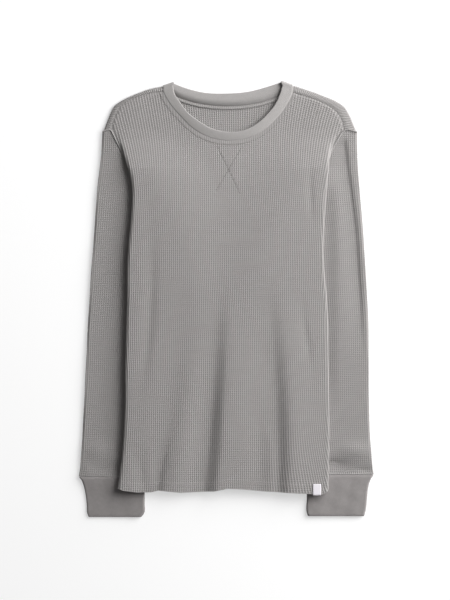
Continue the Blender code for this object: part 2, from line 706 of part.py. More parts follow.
def neckband(finish):
    """The neckband: a ring of doubled rib, folded flat where it crosses the shoulders."""
    share = np.linspace(0, 1, NECK_COLUMNS + 1)
    lift = BAND_LIFT * np.sqrt(np.sin(share * math.pi))
    rows = []
    for w in np.linspace(0, 1, BAND_ROWS + 1):
        height = BAND_SEAM + lift * math.sin(w * math.pi / 2) + BAND_RISE * w
        upper = np.column_stack([band_line(NECK_FRONT_SEAM, NECK_FRONT_EDGE, share, w), height])
        flat = band_line(NECK_BACK_SEAM, NECK_BACK_EDGE, share, w)[::-1]
        lower = np.column_stack([flat, np.full(len(flat), BAND_LOW)])
        peaks = lower[[-1, 0]]
        peaks[:, 2] = height[0]
        upper = np.concatenate([peaks[:1], upper, peaks[1:]])
        ring = [upper, peak_turn(upper[-1], lower[0], w), lower, peak_turn(lower[-1], upper[0], -w)]
        rows.append(np.concatenate(ring))
    points = np.array(rows)
    points = np.concatenate([points, points[:, :1]], axis=1)
    return cloth_object("neckband", points, BAND_WALL, finish, ring=True)


def band_line(seam_line, edge_line, share, w):
    """Plan points along the neckband, at a share of the way from its seam to its free edge."""
    seam, edge = run(seam_line, share), run(edge_line, share)
    seam = seam + (edge - seam) / np.linalg.norm(edge - seam, axis=-1, keepdims=True) * BAND_GAP
    return seam + (edge - seam) * w


def peak_turn(start, end, lean):
    """The band's turn at a neck point, from one layer's last point to the other's first."""
    middle, half = (start + end) / 2, (start - end) / 2
    swell = PEAK_OUT[0] * np.sign(middle[0]) + PEAK_LEAN * lean
    out = np.array([swell, PEAK_OUT[1], 0.0]) * abs(half[2])
    angles = np.linspace(0, math.pi, EDGE_COLUMNS + 1)[1:-1]
    return np.array([middle + half * math.cos(angle) + out * math.sin(angle) for angle in angles])


def neck_tape(finish):
    """The tape over the back neck seam, on the inside of the back."""
    share = np.linspace(0.5 - TAPE_REACH / 2, 0.5 + TAPE_REACH / 2, NECK_COLUMNS + 1)
    seam = run(NECK_BACK_SEAM, share)
    along_seam = np.gradient(seam, axis=0)
    down = np.stack([along_seam[:, 1], -along_seam[:, 0]], axis=-1)
    down /= np.linalg.norm(down, axis=-1, keepdims=True)
    height = FLOOR + CLOTH / 2 + LAID_GAP + TAPE_WALL / 2
    rows = [
        np.column_stack([seam + down * (TAPE_INSET + TAPE_WIDTH * w), np.full(len(seam), height)])
        for w in (1.0, 0.5, 0.0)
    ]
    return cloth_object("neck_tape", np.array(rows), TAPE_WALL, finish)


def hem_label(finish):
    """The label over the hem: a leg on the front's face and a lip round the hem's edge."""
    x = LABEL["x"] + LABEL["width"] * np.array([-0.5, 0.0, 0.5])
    offset = CLOTH / 2 + LAID_GAP + LABEL_WALL / 2
    hem = float(hem_line(LABEL["x"]))
    level = front_height(x, np.full(3, hem))
    rows = []
    for y in np.linspace(LABEL["top"], hem, LABEL_ROWS + 1):
        rows.append(np.column_stack([x, np.full(3, y), front_height(x, np.full(3, y)) + offset]))
    for angle in np.radians((45, 90)):
        y = np.full(3, hem - offset * math.sin(angle))
        rows.append(np.column_stack([x, y, level + offset * math.cos(angle)]))
    rows.append(np.column_stack([x, np.full(3, hem - offset), level - CLOTH / 2]))
    return cloth_object("hem_label", np.array(rows[::-1]), LABEL_WALL, finish)


def build():
    for old in list(bpy.data.objects):
        bpy.data.objects.remove(old)
    bpy.context.scene.collection.children.link(bpy.data.collections.new(COLLECTION))
    waffle = (0.335, 0.318, 0.314)
    rib = (0.372, 0.356, 0.350)
    front(material("front_waffle", waffle))
    back(material("back_waffle", waffle))
    for side, sign in SIDES:
        sleeve(side, sign, material(f"sleeve_{side}_waffle", waffle))
        cuff(side, sign, material(f"cuff_{side}_rib", rib))
    neckband(material("neckband_rib", rib))
    neck_tape(material("neck_tape_jersey", rib))
    hem_label(material("hem_label_woven", (0.75, 0.72, 0.76), 0.6))


build()
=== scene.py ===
"""The looks of a waffle-knit thermal top that lies flat: its knit, ribs, seams and stitching."""

import math

import bmesh
import bpy
import numpy as np
from mathutils import Matrix, Vector


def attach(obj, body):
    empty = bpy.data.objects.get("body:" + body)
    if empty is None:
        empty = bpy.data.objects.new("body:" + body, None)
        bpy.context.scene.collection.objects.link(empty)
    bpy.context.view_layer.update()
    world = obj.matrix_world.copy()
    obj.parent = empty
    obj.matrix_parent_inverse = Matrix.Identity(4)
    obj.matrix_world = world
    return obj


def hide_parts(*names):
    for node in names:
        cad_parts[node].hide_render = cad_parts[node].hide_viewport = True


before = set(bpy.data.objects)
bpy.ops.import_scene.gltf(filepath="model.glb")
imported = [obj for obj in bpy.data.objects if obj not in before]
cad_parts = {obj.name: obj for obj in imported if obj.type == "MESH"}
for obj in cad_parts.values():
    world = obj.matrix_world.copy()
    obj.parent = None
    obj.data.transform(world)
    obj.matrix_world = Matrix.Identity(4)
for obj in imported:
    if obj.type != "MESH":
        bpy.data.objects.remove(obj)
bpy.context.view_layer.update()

# --- Front -----------------------------------------------------------------------------------
# The front body panel, cut from grey cotton waffle knit. It lies over everything else, turns
# under at both sides, and is sewn to the back along the shoulders and the turned side seams.

MM = 0.001
SIDES = (("left", -1), ("right", 1))
CLOTH = 1.6                         # thickness of the knit, in millimetres as all sizes here
FLOOR = CLOTH / 2                   # height of the middle of cloth that lies on the surface
FRONT_SIDE, BACK_SIDE = 17.4, 14.7  # heights of the front and the back along the turned sides
SHOULDER = 6.6                      # height of the front at the shoulders
BODY_HALF, UNDERARM = 265.0, 51.0   # half the chest as it is cut, and the foot of the armholes
FRONT_TIP = 291.4                   # where they meet the shoulders
LEAD = 4.0              # the cloth is at full height this far before the layers beneath it begin
FOLD_FADE, FOLD_GROWTH = 14.0, 1.3  # width over which folds end at the sides, and their growth
SQUARE_FROM, SQUARE_OVER = 100, 60  # turn, in degrees, at which a side starts to be squared off
SLOPE_STEP = 0.4                    # distance to each side over which a surface's slope is read
WALE, COURSE = 3.6, 3.8             # width and length of one waffle
PIT, STRAY = 0.5, 0.09              # depth of its pit, and how far its corners stray
SPARE_CELLS = 12                    # waffles beyond the outline, where the rows may wander
EDGE_SWELL = 0.4                    # how far the knit swells out at its cut edge
TOGETHER = 0.01                     # points of an outline that are nearer than this are one
HEM_TURN, SEAM_TURN = 18.0, 6.0     # cloth turned in at the hem and at the seams
FINE = np.linspace(0, 1, 60)        # shares of a seam's length at which it is drawn


def table(columns, *rows):
    """A short table of sizes, read by the names of its columns."""
    return dict(zip(columns.split(), np.array(rows, float).T))


# Where each side of the front starts to turn under, how far it turns, in degrees, and how long
# the turn is.
FOLD = table(
    "y left right turn arc",
    (-340, 184.0, 169.6, 180, 15.4),
    (-324, 180.9, 169.8, 180, 15.4),
    (-300, 177.6, 170.7, 180, 15.4),
    (-256, 172.7, 171.4, 180, 15.4),
    (-207, 169.6, 171.4, 180, 15.4),
    (-109, 168.3, 170.0, 180, 15.4),
    (-5, 165.3, 167.7, 180, 15.4),
    (57, 164.6, 162.6, 180, 15.4),
    (89, 163.0, 161.7, 180, 15.4),
    (120, 160.1, 162.8, 180, 15.4),
    (158, 157.1, 164.9, 180, 15.4),
    (198, 157.3, 168.3, 180, 15.4),
    (215, 160.6, 169.6, 180, 15.4),
    (225, 164.0, 171.0, 150, 12.8),
    (241, 169.2, 172.6, 100, 8.4),
    (250, 171.8, 173.0, 66, 6.9),
    (259, 174.2, 173.8, 40, 5.4),
    (275, 178.4, 179.0, 12, 6.5),
    (291.4, 183.0, 185.5, 4, 8.0),
    (308, 186.2, 190.5, 1, 8.6),
    (322, 188.2, 193.6, 0, 9.4),
    (340, 190.0, 196.0, 0, 10.0),
)
# Width of the cloth past the turn, above the underarm.
FLAP = table(
    "y left right",
    (51, 85.0, 87.0), (75, 78.0, 80.0), (100, 66.0, 68.0), (150, 43.0, 44.0),
    (200, 14.0, 15.0), (215, 7.0, 7.0), (225, 3.0, 3.0), (241, 2.5, 2.5), (250, 3.4, 3.4),
    (259, 4.2, 4.6), (275, 5.8, 6.2), (284, 6.6, 7.2), (291.4, 7.6, 10.2),
)
# Heights of the front and the back at the sides, where the layers under them begin, how wide the
# slope up to those is, and the height of the chest.
SIDE_RISE = table(
    "y front back under ramp chest",
    (-340, FRONT_SIDE, BACK_SIDE, 86, 82, 13.6),
    (-200, FRONT_SIDE, BACK_SIDE, 87, 83, 14.4),
    (-100, FRONT_SIDE, BACK_SIDE, 83, 79, 15.2),
    (-26, FRONT_SIDE, BACK_SIDE, 74, 70, 15.6),
    (20, FRONT_SIDE, BACK_SIDE, 66, 62, 15.8),
    (51, FRONT_SIDE, BACK_SIDE, 64, 60, 15.9),
    (100, FRONT_SIDE, BACK_SIDE, 84, 80, 15.7),
    (150, FRONT_SIDE, BACK_SIDE, 108, 104, 14.4),
    (200, 16.9, BACK_SIDE, 140, 128, 12.0),
    (215, 16.7, BACK_SIDE, 150, 128, 11.1),
    (225, 16.3, 14.4, 156, 130, 10.4),
    (233, 15.1, 12.2, 159, 130, 9.8),
    (241, 13.9, 9.4, 162, 128, 9.2),
    (249, 12.5, 5.2, 165, 124, 8.6),
    (256, 11.4, 2.9, 168, 120, 8.1),
    (263, 10.2, 1.7, 171, 112, 7.6),
    (275, 8.0, 1.0, 174, 90, 6.8),
    (291.4, 6.8, FLOOR, 176, 48, 6.0),
    (310, SHOULDER, FLOOR, 176, 48, 6.0),
    (380, SHOULDER, FLOOR, 176, 48, 6.0),
)
FOLD_FOOT = -332.0
# Troughs, and ridges where the depth is less than 0, from their tops down to the hem.
BODY_FOLDS = table(
    "top_x top_y middle_x end_x end_y depth left right",
    (-16, 20, -24, -41, FOLD_FOOT, 4.4, 48, 14),
    (8, 100, 2, -13, FOLD_FOOT, -4.5, 15, 42),
    (48, -140, 56, 56, FOLD_FOOT, 1.3, 18, 12),
    (72, -200, 78, 78, FOLD_FOOT, -1.0, 10, 9),
    (60, 70, 82, 87, FOLD_FOOT, 3.5, 32, 14),
    (88, 70, 108, 110, FOLD_FOOT, -2.6, 16, 34),
    (-62, 60, -88, -126, FOLD_FOOT, 2.4, 34, 22),
    (-36, 60, -58, -92, FOLD_FOOT, -0.9, 24, 30),
    (-150, -230, -148, -142, FOLD_FOOT, 1.3, 12, 10),
    (-100, -225, -110, -119, FOLD_FOOT, 1.9, 16, 7),
    (-140, 235, -129, -158, -225, 1.8, 12, 9),
    (124, 40, 136, 150, -150, 1.0, 9, 6),
    (148, 270, 145, 150, 110, 1.1, 8, 5),
)
# The edge of the hem where it shows. Where it is turned under, it is straight.
HEM = table(
    "x y",
    (-187, -325.4), (-177, -329.7), (-154, -332.8), (-129, -332.3), (-117, -329.4),
    (-79, -333.0), (-42, -331.6), (-20, -330.6), (-9, -328.2), (2, -326.0), (26, -327.0),
    (60, -330.4), (112, -333.4), (148, -335.2), (165, -336.3), (176, -328.0),
)
HEM_TURNED = -327.0
# The seams seen from above. The x of a shoulder counts from the middle outwards.
NECK_FRONT_SEAM = table(
    "x y",
    (-109.4, 357.3), (-105.0, 347.8), (-93.1, 330.1), (-77.3, 312.4), (-57.5, 293.3),
    (-27.9, 277.2), (1.6, 272.0), (31.2, 274.9), (57.0, 285.4), (76.6, 300.5),
    (94.5, 320.3), (108.3, 341.9), (114.6, 355.4),
)
SHOULDER_SEAM = {
    "left": table(
        "x y",
        (109.4, 357.3), (132.2, 354.0), (154.2, 347.8), (170.5, 340.4),
        (181.5, 332.6), (189.0, 322.0), (194.6, 309.6), (198.2, 291.4),
    ),
    "right": table(
        "x y",
        (114.6, 355.4), (139.9, 348.4), (161.6, 339.7), (183.4, 327.7),
        (193.1, 318.4), (199.1, 308.0), (203.6, 291.4),
    ),
}


def smooth(knots, values, at):
    """A smooth line through a table's points, read at one place or many."""
    slopes = np.gradient(values, knots)
    at = np.clip(at, knots[0], knots[-1])
    index = np.clip(np.searchsorted(knots, at) - 1, 0, len(knots) - 2)
    step = knots[index + 1] - knots[index]
    t = (at - knots[index]) / step
    start = values[index] * (1 + 2 * t) * (1 - t) ** 2 + slopes[index] * step * t * (1 - t) ** 2
    end = values[index + 1] * t * t * (3 - 2 * t) + slopes[index + 1] * step * t * t * (t - 1)
    return start + end


def run(line, share):
    """Points on a drawn line, each at a share of its length from 0 to 1."""
    reach = np.hypot(np.diff(line["x"]), np.diff(line["y"])).cumsum()
    knots = np.concatenate(([0.0], reach)) / reach[-1]
    return np.stack([smooth(knots, line["x"], share), smooth(knots, line["y"], share)], axis=-1)


def ease(value):
    """A soft step from 0 to 1."""
    value = np.clip(value, 0.0, 1.0)
    return value * value * (3 - 2 * value)


def front_edges(side, y):
    """Start and end of the front's turn and the cut edge, in the cloth, with the turn's angle."""
    start = smooth(FOLD["y"], FOLD[side], y)
    end = start + np.interp(y, FOLD["y"], FOLD["arc"])
    flap = np.interp(y, FLAP["y"], FLAP[side])
    edge = np.where(y < UNDERARM, BODY_HALF, end + flap)
    return start, end, edge, np.radians(np.interp(y, FOLD["y"], FOLD["turn"]))


def rise(x, y, ramp):
    """How far the cloth at a point has risen on to the layers beneath it, from 0 to 1."""
    return ease((np.abs(x) - np.interp(y, SIDE_RISE["y"], SIDE_RISE["under"]) + LEAD) / ramp + 1)


def folds(x, y):
    """Height that the soft folds add, fading at the turned edges."""
    total = np.zeros(np.shape(x))
    for top_x, top_y, middle_x, end_x, end_y, depth, left, right in zip(*BODY_FOLDS.values()):
        share = np.clip((top_y - y) / (top_y - end_y), 0, 1)
        line = (top_x * (1 - share) * (1 - 2 * share) + middle_x * 4 * share * (1 - share)
                + end_x * share * (2 * share - 1))
        width = np.where(x < line, left, right)
        fade = ease(share * FOLD_GROWTH) * (ease(2 - 2 * share) if end_y > FOLD_FOOT else 1)
        total -= depth * fade * np.exp(-((x - line) / width) ** 2)
    for side, sign in SIDES:
        start = smooth(FOLD["y"], FOLD[side], y)
        total = np.where(x * sign > 0, total * ease((start - np.abs(x)) / FOLD_FADE), total)
    return total


def front_height(x, y):
    """Height of the middle of the front's cloth."""
    columns = (SIDE_RISE[key] for key in ("front", "chest", "ramp"))
    side, chest, ramp = (np.interp(y, SIDE_RISE["y"], column) for column in columns)
    return chest + (side - chest) * rise(x, y, ramp) + folds(x, y)


def lay(s, y, edges, height, squared=()):
    """Lay cut cloth down: it runs level out to the fold, turns under and runs back beneath.

    On a squared side the cloth stays level for longer and turns down closer to the edge.
    """
    laid = np.zeros(np.shape(s) + (3,))
    for side, sign in SIDES:
        start, end, _, turn = edges(side, y)
        out = np.abs(s)
        level = np.minimum(out, start)
        bent = np.clip(out - start, 0, end - start)
        past = np.maximum(out - end, 0)
        angle = turn * bent / (end - start)
        x = bent * np.sinc(angle / math.pi)
        drop = bent * np.sin(angle / 2) * np.sinc(angle / math.tau)
        if side in squared:
            radius, cosine = (end - start) / np.maximum(turn, 1), np.cos(angle)
            share = ease((np.degrees(turn) - SQUARE_FROM) / SQUARE_OVER)
            x = x + (radius * np.sqrt(np.sin(angle).clip(0)) - x) * share
            drop = drop + (radius * (1 - np.sign(cosine) * np.sqrt(np.abs(cosine))) - drop) * share
        x = level + x + past * np.cos(turn)
        drop = drop + past * np.sin(turn)
        here = np.stack([sign * x, y, height(sign * level, y) - drop], axis=-1)
        laid = np.where((s * sign >= 0)[..., None], here, laid)
    return laid


def front_surface(s, y):
    """Where the middle of the front's cloth lies."""
    return lay(s, y, front_edges, front_height, ("right",))


def raised(surface, cloth, facing=1):
    """Points of the cloth at their heights above its laid middle, on the side it faces."""
    s, y, height = cloth.T
    across = surface(s + SLOPE_STEP, y) - surface(s - SLOPE_STEP, y)
    along = surface(s, y + SLOPE_STEP) - surface(s, y - SLOPE_STEP)
    out = np.cross(across, along)
    out *= facing / np.linalg.norm(out, axis=-1, keepdims=True)
    return surface(s, y) + out * height[:, None]


def hem_line(s):
    """Where the edge of a body panel's hem is."""
    seen = (s > HEM["x"][0]) & (s < HEM["x"][-1])
    return np.where(seen, np.interp(s, HEM["x"], HEM["y"]), HEM_TURNED)


def body_outline(edges, tip_y, shoulders, neck):
    """The cut edge of a body panel, from the hem's left end round to the left side."""
    foot = np.arange(*(sign * edges(side, HEM_TURNED)[2] for side, sign in SIDES), 2.0)
    up = np.linspace(HEM_TURNED + 2, tip_y - 2, 160)
    parts = [
        np.stack([foot, hem_line(foot)], axis=-1),
        np.stack([edges("right", up)[2], up], axis=-1),
        run(shoulders["right"], FINE)[::-1],
        run(neck, FINE)[::-1][1:-1],
        run(shoulders["left"], FINE) * [-1, 1],
        np.stack([-edges("left", up)[2], up], axis=-1)[::-1],
    ]
    return np.concatenate(parts)


def inside(points, outline):
    """Which points lie within a closed outline."""
    crossed = np.zeros(len(points), int)
    for (x0, y0), (x1, y1) in zip(outline, np.roll(outline, -1, axis=0)):
        if y0 != y1:
            level = (points[:, 1] >= min(y0, y1)) & (points[:, 1] < max(y0, y1))
            crossed += level & (points[:, 0] < x0 + (points[:, 1] - y0) * (x1 - x0) / (y1 - y0))
    return crossed % 2 == 1


def unit(ways):
    """The same ways, each of length 1."""
    return ways / np.linalg.norm(ways, axis=-1, keepdims=True)


def leftwards(way):
    """The way that lies to the left of each way along a line."""
    return unit(np.stack([-way[:, 1], way[:, 0]], axis=-1))


def nearest(points, outline):
    """The nearest places on an outline, and the way in from there."""
    step = np.roll(outline, -1, axis=0) - outline
    share = ((points[:, None] - outline) * step).sum(-1) / (step * step).sum(-1)
    foot = outline + np.clip(share, 0, 1)[..., None] * step
    best = np.linalg.norm(points[:, None] - foot, axis=-1).argmin(1)
    return foot[np.arange(len(points)), best], leftwards(step[best])


def places(verts):
    """Where some corners of a mesh lie in the cloth."""
    return np.array([vert.co[:2] for vert in verts])


def grid(middle, size, columns, rows, height):
    """A flat rectangle of cells, as a new bmesh."""
    bm = bmesh.new()
    place = Matrix.Translation((*middle, height)) @ Matrix.Diagonal((*size, 1.0, 1.0))
    bmesh.ops.create_grid(bm, x_segments=columns, y_segments=rows, size=0.5, matrix=place)
    return bm


def extruded(bm, edges):
    """Extrude some edges, and give back the new edges and corners."""
    grown = bmesh.ops.extrude_edge_only(bm, edges=edges)["geom"]
    return ([part for part in grown if isinstance(part, kind)]
            for kind in (bmesh.types.BMEdge, bmesh.types.BMVert))


def waffle(outline, turn_in, wander=None, cell=(WALE, COURSE), pit=PIT, seed=1):
    """A piece of waffle knit, flat: cells cut to an outline, a pit in each, its edges turned in.

    X and Y are distances in the cloth and Z is the height above its middle. The rows and columns
    may wander, and the UV map follows them.
    """
    outline = outline[np.linalg.norm(np.roll(outline, -1, axis=0) - outline, axis=-1) > TOGETHER]
    cell, spare_cells = np.array(cell), SPARE_CELLS if wander else 1
    first = np.floor(outline.min(0) / cell) - spare_cells
    count = np.ceil(outline.max(0) / cell) + spare_cells - first
    columns, rows = (int(n) for n in count)
    bm = grid((first + count / 2) * cell, count * cell, columns, rows, FLOOR)
    uv = bm.loops.layers.uv.new("cloth")
    for face in bm.faces:
        for corner in face.loops:
            corner[uv].uv = corner.vert.co.xy * MM
    flat = places(bm.verts)
    uneven = np.random.default_rng(seed).normal(0, STRAY, flat.shape)
    moved = flat + uneven + (wander(*flat.T) if wander else 0)
    for vert, spot in zip(bm.verts, moved):
        vert.co.x, vert.co.y = spot
    centres = np.array([face.calc_center_median()[:2] for face in bm.faces])
    spare = [face for face, kept in zip(bm.faces, inside(centres, outline)) if not kept]
    bmesh.ops.delete(bm, geom=spare, context="FACES")
    rim = [vert for vert in bm.verts if vert.is_boundary]
    for vert, foot in zip(rim, nearest(places(rim), outline)[0]):
        vert.co.x, vert.co.y = foot
    bmesh.ops.poke(bm, faces=bm.faces[:], offset=-pit)
    edges = [edge for edge in bm.edges if edge.is_boundary]
    for share, height in ((-EDGE_SWELL, FLOOR * 0.3), (0.0, -FLOOR), (1.0, -FLOOR)):
        edges, verts = extruded(bm, edges)
        foot, inward = nearest(places(verts), outline)
        reach = turn_in(foot) if share > 0 else np.ones(len(foot))
        for vert, spot in zip(verts, foot + inward * (share * reach)[:, None]):
            vert.co = (*spot, height)
    return bm


def nearest_gap(points, line):
    """How far each point is from a line."""
    gaps = np.full(len(points), np.inf)
    for start, way in zip(line, np.diff(line, axis=0)):
        share = np.clip((points - start) @ way / (way @ way), 0, 1)
        gaps = np.minimum(gaps, np.linalg.norm(points - start - share[:, None] * way, axis=1))
    return gaps


def press(bm, line, reach, depth):
    """Press a groove into the upper side of a flat piece along a line."""
    low, high = line.min(0) - reach, line.max(0) + reach
    near = [vert for vert in bm.verts if vert.co.z > 0
            and low[0] < vert.co.x < high[0] and low[1] < vert.co.y < high[1]]
    gap = nearest_gap(places(near), line)
    for vert, drop in zip(near, depth * ease(1 - gap / reach)):
        vert.co.z -= drop


def mesh_of(name, bm):
    """A new mesh from a bmesh, which is used up."""
    mesh = bpy.data.meshes.new(name)
    bm.to_mesh(mesh)
    bm.free()
    return mesh


def put_down(name, bm, surface, facing=1, flat=True):
    """Turn a flat piece into a mesh that lies on its surface, with its cloth as its UV map."""
    if facing < 0:
        bmesh.ops.reverse_faces(bm, faces=bm.faces[:])
    mesh = mesh_of(name, bm)
    cloth = np.zeros(len(mesh.vertices) * 3, np.float32)
    mesh.vertices.foreach_get("co", cloth)
    cloth = cloth.reshape(-1, 3).astype(float)
    corner = np.zeros(len(mesh.loops), np.int32)
    mesh.loops.foreach_get("vertex_index", corner)
    if not mesh.uv_layers:
        uv = mesh.uv_layers.new(name="cloth")
        uv.data.foreach_set("uv", (cloth[corner, :2] * MM).astype(np.float32).ravel())
    laid = raised(surface, cloth, facing) * MM
    mesh.vertices.foreach_set("co", laid.astype(np.float32).ravel())
    mesh.polygons.foreach_set("use_smooth", np.full(len(mesh.polygons), not flat))
    mesh.update()
    return mesh


def in_one(name, *meshes):
    """Several meshes as one."""
    bm = bmesh.new()
    for mesh in meshes:
        bm.from_mesh(mesh)
        bpy.data.meshes.remove(mesh)
    return mesh_of(name, bm)


def in_scene(name, data):
    """A new object in the scene."""
    made = bpy.data.objects.new(name, data)
    bpy.context.scene.collection.objects.link(made)
    return made


def shown(name, mesh, finish, node, sewn_on=False):
    """A finished piece on the top's one body, in place of its plain solid."""
    piece = in_scene(name, mesh)
    mesh.materials.clear()
    mesh.materials.append(finish)
    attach(piece, "root")
    if not sewn_on:
        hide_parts(node)
    return piece


def new_finish(name):
    """A new material with nodes."""
    made = bpy.data.materials.new(name)
    made.use_nodes = True
    return made


def link(tree, kind, *inputs, **settings):
    """Add a node, set its options, and feed its inputs in order, with values or other outputs."""
    made = tree.nodes.new("ShaderNode" + kind)
    for key, value in settings.items():
        setattr(made, key, value)
    for socket, value in zip(made.inputs, inputs):
        if isinstance(value, bpy.types.NodeSocket):
            tree.links.new(value, socket)
        elif value is not None:
            socket.default_value = value
    return made.outputs[0]


def work_out(tree, operation, *inputs, **settings):
    """Add a node that works out one value."""
    return link(tree, "Math", *inputs, operation=operation, **settings)


def noise(tree, place, scale, detail):
    """Add a noise pattern at a place. Its second input is left alone."""
    return link(tree, "TexNoise", place, None, scale, detail)


def set_inputs(node, values):
    """Set inputs of a node by their names."""
    for name, value in values.items():
        node.inputs[name].default_value = value


def surfaced(made, colour, shade, level, height, bump, looks):
    """Colour a material from its shade, at level 0, to its full colour at 1, and give it a bump."""
    tree, shader = made.node_tree, made.node_tree.nodes["Principled BSDF"]
    mix = tree.nodes.new("ShaderNodeMix")
    mix.data_type = "RGBA"
    tree.links.new(level, mix.inputs["Factor"])
    for socket, value in ((mix.inputs[6], shade), (mix.inputs[7], 1.0)):
        socket.default_value = (*(part * value for part in colour), 1)
    tree.links.new(mix.outputs[2], shader.inputs["Base Color"])
    bumps = tree.nodes.new("ShaderNodeBump")
    set_inputs(bumps, dict(zip(("Strength", "Distance"), bump)))
    tree.links.new(height, bumps.inputs["Height"])
    tree.links.new(bumps.outputs[0], shader.inputs["Normal"])
    set_inputs(shader, looks)
    return made


YARN_SCALE, HEATHER_SCALE = 1500.0, 160.0   # fineness of the yarn and of the grey's mottle
YARN_TONE, YARN_HEIGHT = 0.30, 0.6          # how much the yarn adds to the shade and to the bump
COTTON = {"Roughness": 0.92, "Specular IOR Level": 0.25, "Sheen Weight": 0.12,
          "Sheen Roughness": 0.5}


def knit(name, colour, shade, cell, ridge, weights, bump=0.00018, mottle=0.30):
    """Matt cotton knit with painted shade: darker pits and lighter ridges that follow the cloth,
    and a yarn bump. The pits are coloured darker for the shade that falls in them.

    The cell is the width and length of one waffle or rib, and the weights say how light the
    ridges along and across the cloth are painted. A higher ridge makes them narrower.
    """
    made = new_finish(name)
    tree = made.node_tree
    cloth = link(tree, "UVMap", uv_map="cloth")
    waves = []
    for place, size, weight in zip(link(tree, "SeparateXYZ", cloth).node.outputs, cell, weights):
        turn = work_out(tree, "MULTIPLY", place, math.tau / (size * MM))
        wave = work_out(tree, "MULTIPLY_ADD", work_out(tree, "COSINE", turn), 0.5, 0.5)
        waves.append(work_out(tree, "MULTIPLY", work_out(tree, "POWER", wave, ridge), weight))
    # Painted shade: the colour is darkest in the pits between the ridges. The same relief also
    # shapes the bump.
    relief_and_painted_shade = work_out(tree, "MAXIMUM", *waves)
    yarn = noise(tree, cloth, YARN_SCALE, 3.0)
    tone = work_out(tree, "MULTIPLY_ADD", yarn, YARN_TONE, -YARN_TONE / 2)
    tone = work_out(tree, "MULTIPLY_ADD", noise(tree, cloth, HEATHER_SCALE, 4.0), mottle, tone)
    level = work_out(tree, "ADD", relief_and_painted_shade, tone)
    level = work_out(tree, "ADD", level, -mottle / 2, use_clamp=True)
    height = work_out(tree, "MULTIPLY_ADD", yarn, YARN_HEIGHT, relief_and_painted_shade)
    return surfaced(made, colour, shade, level, height, (0.7, bump), COTTON)


def panel_turn_in(foot):
    """How much cloth is turned in at each place of a body panel's edge."""
    return np.where(foot[:, 1] < HEM_TURNED + 3, HEM_TURN, SEAM_TURN)


FACE_HALF = 170                        # half the width of the face
# The ribs lean out from this height up to the shoulders, over this run and to this slope.
LEAN_ABOVE, LEAN_RUN, LEAN = 130, 260, 0.33
# They lean out from this height down too, more at the right than at the left, and from this x.
SLANT_BELOW, SLANT_RUN, SLANTS, SLANT_X, SLANT_FADE = -120, 220, (0.0005, 0.0001), 60, 80


def body_wander(s, y):
    """How the ribs of a body panel lean out to the shoulders and the lower right, and wander."""
    share = np.clip(np.abs(s) / FACE_HALF, 0, 1.3)
    above, below = np.clip(y - LEAN_ABOVE, 0, LEAN_RUN), np.clip(SLANT_BELOW - y, 0, SLANT_RUN)
    slant = np.where(s > 0, *SLANTS) * below ** 2 * ease((np.abs(s) - SLANT_X) / SLANT_FADE)
    across = np.sign(s) * (share ** 1.6 * (LEAN * above ** 2 / (2 * LEAN_RUN)) + slant)
    along = -0.2 * share ** 2 * above
    across = across + 1.1 * np.sin(y / 31 + 1.3 * np.sin(s / 47)) + 0.7 * np.sin(s / 23 + y / 53)
    along = along + 1.0 * np.sin(s / 29 + 0.7) + 0.7 * np.sin(y / 37 + s / 61)
    return np.stack([across, along], axis=-1)


NECK_COVER, HEM_COVER = 6.5, 15.0   # width sewn down flat beside the neck seam and at the hem
COVER_FLAT, COVER_LIFT = 0.25, 0.3  # height of the flat knit at the neck, and rise of the hem's
COVER_PAST, COVER_STEP = 1.0, 1.6   # how far past that width it ends, and how wide its step is
SEAM_DIP, SEAM_REACH = 0.9, 2.6     # how far a seam draws the cloth down, and over what width
CROSSING = (((-16.3, 263.7), (23.3, 180.3)), ((25.5, 259.4), (-18.5, 184.7)))
CROSS_DIP, CROSS_REACH = 0.5, 1.8   # the same for the two rows that cross below the neck


def covered(gap, cover):
    """How flat the knit is sewn at a gap from a seam, from 0 to 1."""
    return ease((cover + COVER_PAST - gap) / COVER_STEP)


front_cut = body_outline(front_edges, FRONT_TIP, SHOULDER_SEAM, NECK_FRONT_SEAM)
front_cloth = waffle(front_cut, panel_turn_in, body_wander)
neck_line = run(NECK_FRONT_SEAM, np.linspace(0, 1, 90))
top = [vert for vert in front_cloth.verts if vert.co.z > 0]
spots = places(top)
at_neck = covered(nearest_gap(spots, neck_line), NECK_COVER)
at_hem = covered(spots[:, 1] - hem_line(spots[:, 0]), HEM_COVER)
for vert, flat, lifted in zip(top, at_neck, at_hem):
    vert.co.z += (FLOOR + COVER_FLAT - vert.co.z) * flat + COVER_LIFT * lifted
for side, sign in SIDES:
    press(front_cloth, run(SHOULDER_SEAM[side], FINE) * [sign, 1], SEAM_REACH, SEAM_DIP)
for row in CROSSING:
    press(front_cloth, np.array(row), CROSS_REACH, CROSS_DIP)
waffle_grey = knit("waffle_grey", (0.312, 0.299, 0.293), shade=0.70, cell=(WALE, COURSE),
                   ridge=1.2, weights=(1.0, 0.2))
front_mesh = put_down("front_cloth", front_cloth, front_surface)
front_piece = shown("front_cloth", front_mesh, waffle_grey, "front")

# --- Back ------------------------------------------------------------------------------------
# The back body panel, cut from the same waffle. It lies on the surface inside the front's
# turned sides, comes forward over both shoulders to the seams, and shows its inside at the neck.

